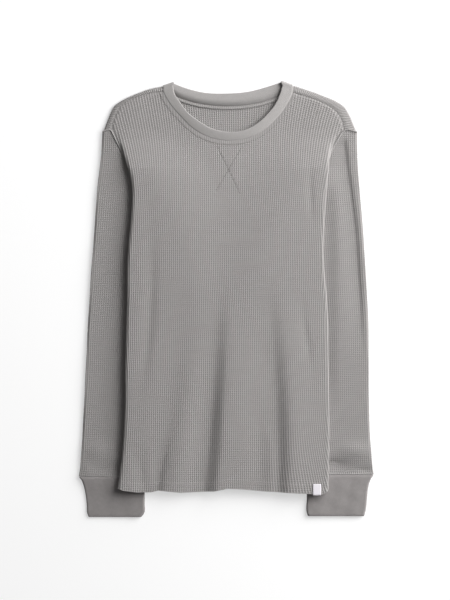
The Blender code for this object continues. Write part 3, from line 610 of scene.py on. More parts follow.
BACK_RAMP, BACK_FOLLOWS = 48.0, 0.8   # slope up to its sides, and share of the front's folds
BACK_ARC, BACK_ARC_Y = 7.85, 215.0    # length of its turn, which changes from this height up
BACK_TIP = 288.5                      # where its armholes meet the shoulders
SEAM_GAP = 0.42                       # gap between the back and the front at a shoulder seam
STRIP = 16.0                          # width of the strip between the shoulder and its seam
STRIP_CELL = (WALE / 2, 8.4)          # the strip is pulled lengthwise, so that it shows as ribs
STRIP_RIB, STRIP_DROOP = 0.5, 1.3     # their depth, and how far it sinks at the shoulder's edge
STRIP_DIP, STRIP_REACH = SEAM_DIP / 2, 1.9   # how far its seam draws it down, and how widely
SLIM_TURN = 2.5                       # cloth turned in at the strips, in the neck and on sleeves
NECK_FOOT = ((-112, 236), (116, 236))  # lower corners of the part that shows in the neck
# The turn of the back, inside the front's, and the width of the cloth past it.
BACK_FOLD = table(
    "y left right turn arc left_flap right_flap",
    (225, 163.4, 170.4, 150, 6.5, 3.0, 3.0),
    (233, 165.2, 171.0, 112, 5.0, 2.2, 2.2),
    (241, 167.2, 170.8, 78, 4.0, 2.2, 2.2),
    (249, 170.0, 172.6, 45, 4.0, 2.4, 2.4),
    (256, 173.0, 176.0, 18, 5.0, 3.2, 3.6),
    (263, 175.8, 180.0, 6, 6.0, 5.0, 6.0),
    (275, 179.0, 185.0, 0, 8.0, 10.0, 12.0),
    (288.5, 182.5, 190.2, 0, 10.0, 16.5, 21.8),
    (300, 185.5, 194.3, 0, 11.0, 20.0, 24.0),
    (315, 188.6, 198.6, 0, 11.4, 20.0, 24.0),
    (330, 190.6, 202.3, 0, 11.6, 20.0, 24.0),
)
NECK_BACK_SEAM = table(
    "x y",
    (-109.4, 364.3), (-83.3, 347.8), (-57.5, 339.0), (-27.9, 333.7), (1.6, 332.1),
    (41.0, 335.1), (70.8, 341.9), (88.5, 348.8), (114.5, 365.9),
)
# The outermost edge of the shoulders, seen from above.
OUTLINE = {
    "left": table(
        "x y",
        (110.2, 367.9), (135.5, 362.4), (148.7, 357.6), (165.2, 350.9),
        (183.8, 341.4), (194.6, 333.1), (201.0, 321.5), (206.3, 308.2), (213.5, 289.8),
    ),
    "right": table(
        "x y",
        (115.7, 369.4), (147.1, 359.0), (170.0, 350.5), (191.9, 340.9),
        (205.1, 331.5), (213.5, 318.0), (220.4, 302.0), (225.6, 289.0),
    ),
}


def back_edges(side, y):
    """The back's turn and cut edge, whose turn lies inside the front's."""
    knots = BACK_FOLD["y"]
    low = y < knots[0]
    front_start, front_end, front_edge, front_turn = front_edges(side, y)
    start = np.where(low, front_start, np.interp(y, knots, BACK_FOLD[side]))
    low_arc = np.interp(y, (BACK_ARC_Y, knots[0]), (BACK_ARC, BACK_FOLD["arc"][0]))
    end = start + np.where(low, low_arc, np.interp(y, knots, BACK_FOLD["arc"]))
    flap = np.interp(y, knots, BACK_FOLD[side + "_flap"])
    edge = end + np.where(low, front_edge - front_end, flap)
    turn = np.radians(np.interp(y, knots, BACK_FOLD["turn"]))
    return start, end, edge, np.where(low, front_turn, turn)


def back_height(x, y):
    """Height of the middle of the back's cloth."""
    side = np.interp(y, SIDE_RISE["y"], SIDE_RISE["back"])
    share = rise(x, y, BACK_RAMP)
    folded = BACK_FOLLOWS * folds(x, y) * share * (side > FRONT_SIDE / 2)
    return FLOOR + (side - FLOOR) * share + folded


def back_surface(s, y):
    """Where the middle of the back's cloth lies."""
    return lay(s, y, back_edges, back_height)


def reaches(line):
    """How far along a line each of its points is."""
    return np.concatenate([[0], np.linalg.norm(np.diff(line, axis=0), axis=-1).cumsum()])


def at_reach(at, reach, line):
    """Points at distances along a line, or other values that belong to its points."""
    return np.stack([np.interp(at, reach, values) for values in line.T], axis=-1)


def shoulder(side, sign):
    """The back over a shoulder: across its edge from underneath, then along the strip on top."""
    share = np.linspace(0, 1, 80)
    edge, seam = run(OUTLINE[side], share), run(SHOULDER_SEAM[side], share)
    along = np.gradient(edge, axis=0)
    outward = leftwards(along)
    outward *= np.sign(outward[:, 1:].mean())
    radius = (SHOULDER - FLOOR) / 2
    arc = math.pi * radius
    inset = edge - outward * (radius + CLOTH / 2)
    reach = reaches(edge)
    lines = inset, outward, seam + outward * SEAM_GAP, unit(along)

    def surface(along_edge, across):
        inner, out, sewn, way = (at_reach(along_edge, reach, line) for line in lines)
        angle = np.clip(1 + across / arc, 0, 1) * math.pi
        past_end = (along_edge - np.clip(along_edge, 0, reach[-1]))[..., None]
        plan = inner + out * (radius * np.sin(angle))[..., None] + way * past_end
        plan = plan + (sewn - inner) * np.maximum(across / STRIP, 0)[..., None]
        plan = plan + out * np.minimum(across + arc, 0)[..., None]
        droop = STRIP_DROOP * (1 - np.clip(across / STRIP, 0, 1)) ** 2 * angle / math.pi
        height = FLOOR + radius * (1 - np.cos(angle)) - droop
        return np.concatenate([plan * [sign, 1], height[..., None]], axis=-1)

    corners = np.array([(0, -arc), (reach[-1], -arc), (reach[-1], STRIP), (0, STRIP)])
    return surface, corners, dict(x=inset[:, 0], y=inset[:, 1])


def slim_turn_in(foot):
    """The same narrow turning all round."""
    return np.full(len(foot), SLIM_TURN)


shoulders = {side: shoulder(side, sign) for side, sign in SIDES}
under_lines = {side: made[2] for side, made in shoulders.items()}
back_cut = body_outline(back_edges, BACK_TIP, under_lines, NECK_BACK_SEAM)
back_under = waffle(back_cut, panel_turn_in, body_wander, seed=2)
back_parts = [put_down("back_under", back_under, back_surface, -1)]
for side, sign in SIDES:
    surface, corners, _ = shoulders[side]
    strip = waffle(corners, slim_turn_in, cell=STRIP_CELL, pit=0, seed=3)
    for vert in (vert for vert in strip.verts if vert.co.z > 0):
        vert.co.z -= STRIP_RIB * (1 - math.cos(math.tau * vert.co.x / WALE)) / 2
    press(strip, corners[2:], STRIP_REACH, STRIP_DIP)
    back_parts.append(put_down(f"back_{side}", strip, surface, -sign))
neck_inside = np.concatenate([NECK_FOOT, run(NECK_BACK_SEAM, FINE)[::-1]])
back_inside = waffle(neck_inside, slim_turn_in, body_wander, seed=4)
back_parts.append(put_down("back_inside", back_inside, back_surface))
back_mesh = in_one("back_cloth", *back_parts)
back_piece = shown("back_cloth", back_mesh, waffle_grey, "back")

# --- Sleeves ---------------------------------------------------------------------------------
# Two tubes of the same waffle, each folded flat along its outer edge and sewn along its inner
# one. They are set into the armholes, run straight down under the body, and gather at the cuffs.

SLEEVE_TOP = 5.2       # height of the middle of a sleeve's upper layer
SLEEVE_PIT = 0.4       # depth of its waffles
SLEEVE_SWELL = 0.5     # how far the cloth swells out at its folded outer edge
SLEEVE = {
    "left": table(
        "y outer inner",
        (-306.2, 254.3, 141.5), (-296, 252.6, 131.0), (-276, 251.0, 122.0),
        (-235, 248.1, 113.0), (-172, 245.0, 103.0), (-109, 241.9, 94.0),
        (-26, 237.6, 80.0), (57, 232.5, 67.0), (120, 227.3, 67.0),
        (181, 223.5, 67.0), (240, 216.8, 67.0), (288.6, 213.5, 67.0),
    ),
    "right": table(
        "y outer inner",
        (-302.6, 254.3, 139.3), (-292, 252.9, 130.0), (-271, 250.4, 121.0),
        (-231, 247.4, 113.0), (-172, 246.0, 103.0), (-109, 245.8, 94.0),
        (-26, 244.4, 80.0), (57, 240.0, 67.0), (120, 235.6, 67.0),
        (181, 230.8, 67.0), (240, 226.6, 67.0), (288.0, 225.6, 67.0),
    ),
}
# The armhole edge of the lower layer, near the shoulder.
SLEEVE_BACK_HEAD = {
    "left": table("x y", (178.0, 241), (181.6, 252), (188.6, 262.5), (194, 270), (199, 276),
                  (204.5, 281.6), (213.5, 287.0)),
    "right": table("x y", (180.5, 241), (184.6, 252), (194.2, 262.5), (202, 270), (208.5, 276),
                   (215.6, 281.4), (225.6, 286.0)),
}
# The same edge of the upper layer follows the front's, at these heights.
SLEEVE_HEAD_Y = np.array((UNDERARM, 125, 185, 215, 228, 240, 252, 264, 275, 284, FRONT_TIP))
HEAD_GAP = 0.75        # gap between the sleeve's armhole edge and the front's
HEAD_CORNER, HEAD_RISE = 0.85, 0.6   # how far its top corner lies in, and rises
HEAD_BLEND = 10.0      # width over which the sleeve sinks from that edge to its own height
HEAD_FOOT, HEAD_GROWS = 200, 15      # where the edge starts to lift it, and over what length
# How far the edge lies below the front's, by how far the front has turned.
HEAD_DROP = table("turn drop", (10, 0), (25, 0.5), (50, 1.2), (100, 2.2), (150, 2.4), (180, 2.4))
TUBE = (SLEEVE_TOP - FLOOR) / 2      # radius of the cloth's middle in a tube's folded edges
QUARTER = math.pi * TUBE / 2         # length of cloth in half of such an edge
# A soft crease down the right sleeve, beside the outer edge. A span holds what shows_at takes.
CREASE = table(
    "y x",
    (-130, 237), (-60, 232.5), (15.8, 229), (57.4, 226), (120, 221.8), (186.8, 213.5),
    (230.6, 207), (268, 203),
)
CREASE_DEPTH, CREASE_INNER, CREASE_OUTER, CREASE_SPAN = 2.4, 20.0, 4.4, (-130, 170, 285, 25)
# The hollow in the same sleeve, beside the body.
HOLLOW_DEPTH, HOLLOW_END, HOLLOW_WIDTH, HOLLOW_SPAN = 2.6, 196.0, 26.0, (-210, 90, 215, 60)
# How far the left sleeve sinks from its outer edge to the body.
LEAN_DEPTH, LEAN_WIDTH, LEAN_SPAN = 2.4, 62.0, (-302.2, 40, 262, 60)
LAYERS_TOUCH = FLOOR + CLOTH + 0.1   # height at which the upper layer rests on the lower one
GATHER_FADE = 3        # length over which the gathers end at the cuff's seam
# Dents, and puffs where the depth is less than 0, where a sleeve is gathered into its cuff.
GATHERED = {
    "left": table("x y depth wide long", (196, -294, 1.9, 32, 11), (222, -262, -2.2, 22, 14),
                  (190, -284, 1.2, 16, 7), (240, -296, -0.6, 7, 8)),
    "right": table("x y depth wide long", (200, -294, 2.0, 42, 11), (222, -262, -2.8, 28, 14),
                   (184, -283, 2.6, 17, 7), (238, -295, 1.2, 12, 5)),
}


def sleeve_head(side):
    """The armhole edge of a sleeve's upper layer, from underarm to shoulder tip."""
    y = SLEEVE_HEAD_Y
    _, _, edge, turn = front_edges(side, y)
    tip = lay(edge, y, lambda _, rows: front_edges(side, rows), front_height)
    x = tip[:, 0] + HEAD_GAP * np.clip(np.cos(turn), 0, 1)
    drop = np.interp(np.degrees(turn), HEAD_DROP["turn"], HEAD_DROP["drop"])
    head = np.column_stack([x, y, tip[:, 2] - drop])
    outer = SLEEVE[side]["outer"][-1], SLEEVE[side]["y"][-1]
    corner = np.array([head[-1], [outer[0], outer[1], SLEEVE_TOP + HEAD_RISE]])
    corner[:, 1] -= HEAD_CORNER
    return np.concatenate([head[:-1], corner])


def shows_at(y, foot, grows, top, ends):
    """How strongly a form shows at y, from 0 to 1: it grows from its foot and ends at its top."""
    return ease((y - foot) / grows) * ease((top - y) / ends)


def folded_edge(shape, edge, y):
    """Where the flat layers of a tube end, beside its folded outer or inner edge."""
    turn = {"outer": -TUBE - CLOTH / 2, "inner": TUBE + CLOTH / 2}
    return smooth(shape["y"], shape[edge], y) + turn[edge]


def sleeve_form(side, sign):
    """A sleeve's surface and cut. Across its cloth, 0 is the folded outer edge, plus is on top."""
    shape, head = SLEEVE[side], sleeve_head(side)
    cuff_y = shape["y"][0]

    def outer_line(y):
        return folded_edge(shape, "outer", y)

    def inner_line(y):
        # It draws over to the foot of the armhole as it rises.
        line = folded_edge(shape, "inner", y)
        stop = folded_edge(shape, "inner", shape["y"][shape["y"] > UNDERARM][0])
        share = np.clip((y - cuff_y) / (UNDERARM - cuff_y), 0, 1)
        return line + (head[0, 0] - stop) * share ** 4

    def top_height(x, y):
        far = np.clip(x - np.interp(y, head[:, 1], head[:, 0]), 0, None)
        near = np.exp(-far / HEAD_BLEND) * ease((y - HEAD_FOOT) / HEAD_GROWS)
        top = SLEEVE_TOP + (np.interp(y, head[:, 1], head[:, 2]) - SLEEVE_TOP) * near
        for spot_x, spot_y, depth, wide, long in zip(*GATHERED[side].values()):
            away = ((x - spot_x) / wide) ** 2 + ((y - spot_y) / long) ** 2
            top = top - depth * np.exp(-away) * ease((y - cuff_y) / GATHER_FADE)
        if side == "right":
            middle = np.interp(y, CREASE["y"], CREASE["x"])
            width = np.where(x < middle, CREASE_INNER, CREASE_OUTER)
            crease = shows_at(y, *CREASE_SPAN) * np.exp(-((x - middle) / width) ** 2)
            hollow = shows_at(y, *HOLLOW_SPAN) * ease((HOLLOW_END - x) / HOLLOW_WIDTH)
            top = top - CREASE_DEPTH * crease - HOLLOW_DEPTH * hollow
        else:
            share = 1 - np.clip((outer_line(y) - x) / LEAN_WIDTH, 0, 1)
            top = top - LEAN_DEPTH * shows_at(y, *LEAN_SPAN) * (1 - share ** 2)
        return np.maximum(top, LAYERS_TOUCH)

    def surface(across, y):
        across, outer, inner = across - WALE / 2, outer_line(y) + SLEEVE_SWELL, inner_line(y)
        flat = np.where(y < UNDERARM, outer - inner, np.inf)
        past_edge = np.clip(np.abs(across) - QUARTER, 0, None)
        level = np.minimum(past_edge, flat)
        x = outer - level
        top = top_height(x, y)
        radius = (top - FLOOR) / 2
        angle = np.clip(across / QUARTER, -1, 1) * math.pi / 2
        inner_turn = np.where(across > 0, np.maximum(past_edge - flat, 0) / TUBE, 0)
        back_turn = np.minimum(inner_turn, math.pi)
        x = x + radius * np.cos(angle) - radius * np.sin(back_turn)
        x = x + (inner_turn - back_turn) * TUBE
        x = np.where(across < -QUARTER, outer - past_edge, x)
        height = FLOOR + radius * (1 + np.sin(angle) * np.cos(back_turn))
        return np.stack([sign * x, y, height], axis=-1)

    low = np.linspace(cuff_y, UNDERARM - 0.5, 100)
    flat = outer_line(low) - inner_line(low)
    under_head = head.copy()
    tip = SLEEVE_BACK_HEAD[side]
    under_head[-len(tip["x"]):, :2] = np.column_stack([tip["x"], tip["y"]])
    over, under = (at_reach(FINE * reaches(line)[-1], reaches(line), line)
                   for line in (head[:-1, :2], under_head[:-1, :2]))
    cut = np.concatenate([
        np.stack([QUARTER + flat + math.pi * TUBE, low], axis=-1),
        np.stack([QUARTER + outer_line(over[:, 1]) - over[:, 0], over[:, 1]], axis=-1),
        [(QUARTER, head[-1, 1]), (-QUARTER, tip["y"][-1])],
        np.stack([-QUARTER - outer_line(under[:, 1]) + under[:, 0], under[:, 1]], axis=-1)[::-1],
        np.stack([-QUARTER - flat, low], axis=-1)[::-1],
    ])
    return surface, cut + [WALE / 2, 0]


def sleeve_wander(across, y):
    """How the ribs of a sleeve wander."""
    sideways = 0.8 * np.sin(y / 27 + across / 40)
    return np.stack([sideways, 0.9 * np.sin(across / 26 + y / 90)], axis=-1)


# Painted shade: the sleeves are the same waffle as the body, coloured darker for the shade that
# lies on them.
sleeve_shaded_grey = knit("sleeve_shaded_grey", (0.268, 0.257, 0.252), shade=0.86, cell=(WALE, COURSE),
                   ridge=1.2, weights=(1.2, 0.8))
for side, sign in SIDES:
    surface, cut = sleeve_form(side, sign)
    cloth = waffle(cut, slim_turn_in, sleeve_wander, pit=SLEEVE_PIT, seed=5)
    mesh = put_down(f"sleeve_{side}_cloth", cloth, surface, -sign)
    piece = shown(f"sleeve_{side}_cloth", mesh, sleeve_shaded_grey, f"sleeve_{side}")

# --- Armhole seams ---------------------------------------------------------------------------
# The rolled edge of the knit where each sleeve is sewn in, which shows from the fold of the
# front up to the tip of the shoulder.

ROLL, ROLL_LIFT = 1.3, 0.5           # radius of the roll, and its height above the sleeve's edge
ROLL_WALE, ROLL_RIB = 2.4, 0.25      # width and height of the knit's ribs in it
ROLL_FROM = 6          # the point of the sleeve's head where the front's fold stops hiding it
JOIN_GAP = 0.02        # corners that are nearer than this are joined


def ribbed(length, rib, height, section):
    """A flat strip with ribs across it, on a section of (place, height, share of the rib)."""
    columns = 2 * round(length / rib)
    bm = bmesh.new()
    bmesh.ops.create_grid(bm, x_segments=columns, y_segments=len(section) - 1, size=1)
    bm.verts.ensure_lookup_table()
    for index, vert in enumerate(bm.verts):
        row, column = divmod(index, columns + 1)
        place, level, share = section[row]
        vert.co = (length * column / columns, place, level + height * share * (column % 2))
    return bm


def joined_up(mesh):
    """Join a strip's edges where they meet, and close what ends are left."""
    bm = bmesh.new()
    bm.from_mesh(mesh)
    bmesh.ops.remove_doubles(bm, verts=bm.verts[:], dist=JOIN_GAP * MM)
    bmesh.ops.holes_fill(bm, edges=[edge for edge in bm.edges if edge.is_boundary], sides=60)
    bm.to_mesh(mesh)
    bm.free()
    return mesh


def roll_form(side, sign):
    """A thin roll along the upper end of an armhole seam: along it, and round it from outside."""
    line = sleeve_head(side)[ROLL_FROM:] * [sign, 1, 1] + [0, 0, ROLL_LIFT]
    share, reach = np.linspace(0, 1, 40), reaches(line)
    fine = np.stack([smooth(reach, values, share * reach[-1]) for values in line.T], axis=-1)
    out = np.column_stack([-leftwards(np.gradient(fine[:, :2], axis=0)), np.zeros(len(fine))])

    def surface(along, around):
        middle, outward = (at_reach(along / reach[-1], share, values) for values in (fine, out))
        angle = (around / ROLL)[..., None]
        return middle + ROLL * (outward * np.cos(angle) + np.array([0, 0, 1]) * np.sin(angle))

    return surface, reach[-1]


for side, sign in SIDES:
    surface, length = roll_form(side, sign)
    section = [(place, 0, 1) for place in np.linspace(0, math.tau * ROLL, 9)]
    cloth = ribbed(length, ROLL_WALE, ROLL_RIB, section)
    name, node = f"armhole_{side}_roll", f"sleeve_{side}"
    mesh = joined_up(put_down(name, cloth, surface, flat=False))
    shown(name, mesh, sleeve_shaded_grey, node, sewn_on=True)

# --- Cuffs -----------------------------------------------------------------------------------
# Two tubes of fine cotton rib. Each is doubled, with its fold at the lower edge, and its open
# edges are sewn to the end of the sleeve.

CUFF = {
    "left": table(
        "y outer inner",
        (-376.5, 237.2, 147.5), (-371, 239.6, 142.6), (-354, 240.9, 141.1), (-331, 244.0, 141.1),
        (-318, 247.4, 141.1), (-311, 250.6, 141.3), (-307.1, 254.0, 141.6),
    ),
    "right": table(
        "y outer inner",
        (-374.8, 237.4, 141.0), (-369, 239.2, 138.9), (-346, 242.4, 138.9), (-331, 243.8, 138.9),
        (-317, 246.6, 138.9), (-308, 250.4, 139.0), (-303.5, 254.0, 139.2),
    ),
}
CUFF_FLAT = 95.0       # width of a cuff's flat layers, folds left out
CUFF_RIB, CUFF_RIB_HEIGHT = 2.2, 0.28
CUFF_INSIDE = 40       # how far its inner layer runs up
CUFF_UNEVEN = 0.3      # how far its upper layer rises and dips
CUFF_LEAN = {"left": 2.2, "right": 0.0}    # how far it sinks from the body to its outer edge
CUFF_LEAN_RUN = 34.0   # how far below the sleeve it has sunk that far


def cuff_form(side, sign):
    """A cuff's surface, and the way round it, which starts at the inner edge of its upper layer."""
    shape = CUFF[side]
    arc, sewn_y = math.pi * TUBE, shape["y"][-1]

    def surface(along, y):
        outer, inner = (folded_edge(shape, edge, y) for edge in ("outer", "inner"))
        along = np.mod(along, 2 * (CUFF_FLAT + arc))
        top = np.clip(along / CUFF_FLAT, 0, 1) * (along < CUFF_FLAT + arc)
        back = np.clip((along - CUFF_FLAT - arc) / CUFF_FLAT, 0, 1)
        first = np.clip((along - CUFF_FLAT) / arc, 0, 1) * math.pi
        last = np.clip((along - 2 * CUFF_FLAT - arc) / arc, 0, 1) * math.pi
        share = np.where(along < CUFF_FLAT + arc, top, 1 - back)
        x = inner + (outer - inner) * share + TUBE * (np.sin(first) ** 0.6 - np.sin(last) ** 0.6)
        height = FLOOR + TUBE * (1 + np.cos(first + last))
        uneven = np.sin(x / 6.1 + y / 13) * np.sin(y / 8.7 - x / 17) + 0.6 * np.sin(x / 11 - y / 19)
        height = height + CUFF_UNEVEN * uneven * (along < CUFF_FLAT) * ease(share * (1 - share) * 9)
        lean = CUFF_LEAN[side] * share * (2 - share) * ease((sewn_y - y) / CUFF_LEAN_RUN)
        height = FLOOR + (height - FLOOR) * (1 - lean / (2 * TUBE))
        return np.stack([sign * x, y, height], axis=-1)

    return surface, 2 * (CUFF_FLAT + arc)


cuff_grey = knit("cuff_grey", (0.276, 0.260, 0.256), shade=0.72, cell=(1.1, 1.3),
                 ridge=1.0, weights=(1.0, 0.4), bump=0.0001, mottle=0.7)
for side, sign in SIDES:
    surface, length = cuff_form(side, sign)
    top, foot = CUFF[side]["y"][-1], CUFF[side]["y"][0]
    # Down the inside, round the doubled edge, up the face, and in again where it is sewn.
    section = [(foot + CUFF_INSIDE, -FLOOR, 0), (foot + 1.0, -FLOOR, 0),
               (foot + 0.2, -FLOOR * 0.6, 0.2), (foot, 0, 0.4), (foot + 0.2, FLOOR * 0.6, 0.7)]
    section += [(y, FLOOR, 1) for y in np.linspace(foot + 1.2, top - 0.8, 16)]
    section += [(top - 0.2, FLOOR * 0.6, 0.5), (top, 0, 0), (top - 0.2, -FLOOR, 0),
                (top - SEAM_TURN, -FLOOR, 0)]
    cloth = ribbed(length, CUFF_RIB, CUFF_RIB_HEIGHT, section)
    mesh = joined_up(put_down(f"cuff_{side}_rib", cloth, surface, sign, flat=False))
    piece = shown(f"cuff_{side}_rib", mesh, cuff_grey, f"cuff_{side}")

# --- Neckband --------------------------------------------------------------------------------
# A ring of fine rib, doubled, sewn round the neck. It is folded flat where it crosses the
# shoulders, and its front stands a little way up off the back.

BAND_WIDTH, BAND_WALL = 19.0, 2.2    # nominal width from seam to free edge, and thickness
BAND_RIB, BAND_RIB_HEIGHT = 2.0, 0.14
BAND_GAP = 0.3                       # gap between the band and the seam
BAND_LOW, BAND_SEAM = BAND_WALL / 2 + 0.1, SHOULDER + 0.1  # heights at the back and front seams
BAND_RISE, BAND_LIFT = 0.6, 1.6      # how far the front rises to its edge, and to its middle
PEAK_OUT, PEAK_LEAN = (0.3, 0.93), 0.2   # how far its turns at the shoulders swell sideways and up
NECK_FRONT_EDGE = table(
    "x y",
    (-91.6, 367.0), (-89.2, 353.8), (-79.4, 338.0), (-67.5, 322.2), (-47.7, 306.3),
    (-27.9, 294.5), (1.6, 287.6), (31.2, 290.5), (51.0, 300.5), (70.8, 318.2),
    (84.5, 335.9), (92.5, 353.8), (96.6, 367.0),
)
NECK_BACK_EDGE = table(
    "x y",
    (-89.4, 370.8), (-67.5, 362.7), (-37.9, 355.7), (1.6, 354.3), (41.0, 357.8),
    (70.8, 365.7), (93.5, 373.1),
)


def band_line(seam_line, edge_line, share, w):
    """Plan points along the neckband, at a share of the way from its seam to its free edge."""
    seam, edge = run(seam_line, share), run(edge_line, share)
    seam = seam + unit(edge - seam) * BAND_GAP
    return seam + (edge - seam) * w


def peak_turn(start, end, lean):
    """The band's turn at a neck point, from one layer's last point to the other's first."""
    middle, half = (start + end) / 2, (start - end) / 2
    swell = PEAK_OUT[0] * np.sign(middle[0]) + PEAK_LEAN * lean
    out = np.array([swell, PEAK_OUT[1], 0.0]) * abs(half[2])
    angles = np.linspace(0, math.pi, 11)[1:-1]
    return np.array([middle + half * math.cos(angle) + out * math.sin(angle) for angle in angles])


def band_ring(w):
    """The band's middle all round, at a share of the way from its seam to its free edge."""
    share = np.linspace(0, 1, 121)
    lift = BAND_LIFT * np.sqrt(np.sin(share * math.pi).clip(0))
    height = BAND_SEAM + lift * math.sin(w * math.pi / 2) + BAND_RISE * w
    upper = np.column_stack([band_line(NECK_FRONT_SEAM, NECK_FRONT_EDGE, share, w), height])
    flat = band_line(NECK_BACK_SEAM, NECK_BACK_EDGE, share, w)[::-1]
    lower = np.column_stack([flat, np.full(len(flat), BAND_LOW)])
    peaks = lower[[-1, 0]]
    peaks[:, 2] = height[0]
    upper = np.concatenate([peaks[:1], upper, peaks[1:]])
    ring = [upper, peak_turn(upper[-1], lower[0], w), lower, peak_turn(lower[-1], upper[0], -w)]
    ring = np.concatenate(ring)
    return np.concatenate([ring[-1:], ring, ring[:2]])


RING_SHARES = np.linspace(-0.05, 1.05, 12)
RINGS = np.array([band_ring(w) for w in RING_SHARES])
RING_REACH = reaches(RINGS[len(RINGS) // 2])
RING_REACH -= RING_REACH[1]          # a ring starts one point early and ends one point late
BAND_LENGTH = RING_REACH[-2]


def band_surface(along, place):
    """Places along the band and across it from the seam, read between its rings."""
    along = np.mod(along, BAND_LENGTH)
    w = np.clip(place / BAND_WIDTH, RING_SHARES[0], RING_SHARES[-1])
    index = np.clip(np.searchsorted(RING_REACH, along, side="right") - 1, 0, len(RING_REACH) - 2)
    share = (along - RING_REACH[index]) / (RING_REACH[index + 1] - RING_REACH[index])
    level = np.clip(np.searchsorted(RING_SHARES, w) - 1, 0, len(RING_SHARES) - 2)
    up = (w - RING_SHARES[level]) / (RING_SHARES[level + 1] - RING_SHARES[level])
    up, share = up[..., None], share[..., None]
    low = RINGS[level, index] * (1 - share) + RINGS[level, index + 1] * share
    high = RINGS[level + 1, index] * (1 - share) + RINGS[level + 1, index + 1] * share
    return low * (1 - up) + high * up


# From the seam over the ribbed face, round the free edge and back along the smooth inside.
half, face = BAND_WALL / 2, BAND_WALL * 0.3
section = [(0.2, -half, 0), (0.0, face * 0.2, 0), (0.4, face * 0.75, 0.5), (1.4, face, 0.8)]
section += [(place, face, 1) for place in np.linspace(3.2, BAND_WIDTH - 1.2, 7)]
section += [(BAND_WIDTH - 0.4, face * 0.8, 0.8), (BAND_WIDTH, 0, 0.5),
            (BAND_WIDTH, -half * 0.5, 0.3), (BAND_WIDTH - 0.5, -half * 0.85, 0),
            (BAND_WIDTH - 1.2, -half, 0), (BAND_WIDTH / 2, -half, 0), (0.2, -half, 0)]
band_grey = knit("band_grey", (0.356, 0.342, 0.335), shade=0.76, cell=(1.0, 1.2),
                 ridge=1.0, weights=(1.0, 0.4), bump=0.0001, mottle=0.5)
band_cloth = ribbed(BAND_LENGTH, BAND_RIB, BAND_RIB_HEIGHT, section)
band_mesh = joined_up(put_down("neckband_rib", band_cloth, band_surface, flat=False))
band_piece = shown("neckband_rib", band_mesh, band_grey, "neckband")

# --- Neck tape -------------------------------------------------------------------------------
# A narrow tape of cotton jersey that covers the back neck seam, on the inside of the back. It
# is sewn down along both of its edges.

TAPE_WALL, TAPE_WIDTH = 1.0, 5.0
TAPE_INSET, TAPE_REACH = 0.8, 0.88   # distance from the seam, and share of the seam's length
TAPE_STEP, TAPE_SEWN = 3.0, 1.1      # spacing of its mesh, and of its stitching from its edges
SEWN_GAP = 0.45                      # gap between the body's cloth and a piece sewn flat on it
TAPE_HEIGHT = FLOOR + CLOTH / 2 + SEWN_GAP + TAPE_WALL / 2
tape_share = np.linspace(0.5 - TAPE_REACH / 2, 0.5 + TAPE_REACH / 2, 100)
tape_seam = run(NECK_BACK_SEAM, tape_share)
tape_down = -leftwards(np.gradient(tape_seam, axis=0))
TAPE_REACHES = reaches(tape_seam)


def tape_surface(along, down):
    """Places along the tape and down from the seam."""
    seam, way = (at_reach(along, TAPE_REACHES, line) for line in (tape_seam, tape_down))
    plan = seam + way * (TAPE_INSET + down)[..., None]
    return np.concatenate([plan, np.full(np.shape(along) + (1,), TAPE_HEIGHT)], axis=-1)


# The stitching draws a groove along each side of the tape.
half = TAPE_WALL / 2
section = [(0.0, -half, 0), (0.0, half * 0.4, 0), (0.5, half * 0.7, 0), (TAPE_SEWN, half * 0.2, 0),
           (1.7, half, 0), (TAPE_WIDTH / 2, half, 0), (TAPE_WIDTH - 1.7, half, 0),
           (TAPE_WIDTH - TAPE_SEWN, half * 0.2, 0), (TAPE_WIDTH - 0.5, half * 0.7, 0),
           (TAPE_WIDTH, half * 0.2, 0), (TAPE_WIDTH, -half, 0), (0.0, -half, 0)]
tape_cloth = ribbed(TAPE_REACHES[-1], TAPE_STEP, 0.0, section)
tape_mesh = joined_up(put_down("neck_tape_jersey", tape_cloth, tape_surface, -1, flat=False))
tape_piece = shown("neck_tape_jersey", tape_mesh, band_grey, "neck_tape")

# --- Hem label -------------------------------------------------------------------------------
# A small label, woven from white thread and left bare. It is folded over the hem and caught in
# the hem's stitching.

LABEL_X, LABEL_WIDTH, LABEL_TOP = 155.4, 13.4, -318.4
LABEL_WALL, LABEL_EDGE = 1.0, 0.3      # thickness, and how far its edges swell out
LABEL_TURN_IN = 2.4                    # how far it runs up behind the hem
LABEL_HEM = float(hem_line(LABEL_X))
LABEL_LIFT = CLOTH / 2 + SEWN_GAP + LABEL_WALL / 2
LABEL_ARC = math.pi / 2 * LABEL_LIFT


def label_surface(x, y):
    """Down the face of the hem, round its edge and a little way up behind it."""
    past = np.clip(LABEL_HEM - y, 0, None)
    angle = np.clip(past / LABEL_ARC, 0, 1) * math.pi / 2
    level = front_height(x, np.maximum(y, LABEL_HEM))
    drop = np.clip(past - LABEL_ARC, 0, None)
    place = np.where(past > 0, LABEL_HEM - LABEL_LIFT * np.sin(angle), y)
    return np.stack([x, place, level + LABEL_LIFT * np.cos(angle) - drop], axis=-1)


def flat_cloth(low, high, columns, rows, edge, wall):
    """A closed flat piece of cloth with soft edges, between two corners."""
    middle, size = (np.array(low) + high) / 2, np.array(high) - low
    bm = grid(middle, size, columns, rows, wall / 2)
    edges = [part for part in bm.edges if part.is_boundary]
    for level, swell in ((0.0, edge), (-wall / 2, 0.0)):
        edges, verts = extruded(bm, edges)
        for vert in verts:
            offset = np.array(vert.co[:2]) - middle
            side = np.sign(offset) * (np.abs(offset) > size / 2 - 0.05)
            vert.co = (*(np.clip(vert.co[:2], low, high) + side * swell), level)
    bmesh.ops.holes_fill(bm, edges=edges)
    return bm


WEAVE_SCALE, WEAVE_SHADE, WEAVE_BUMP = 2200.0, 0.82, (0.5, 0.0001)


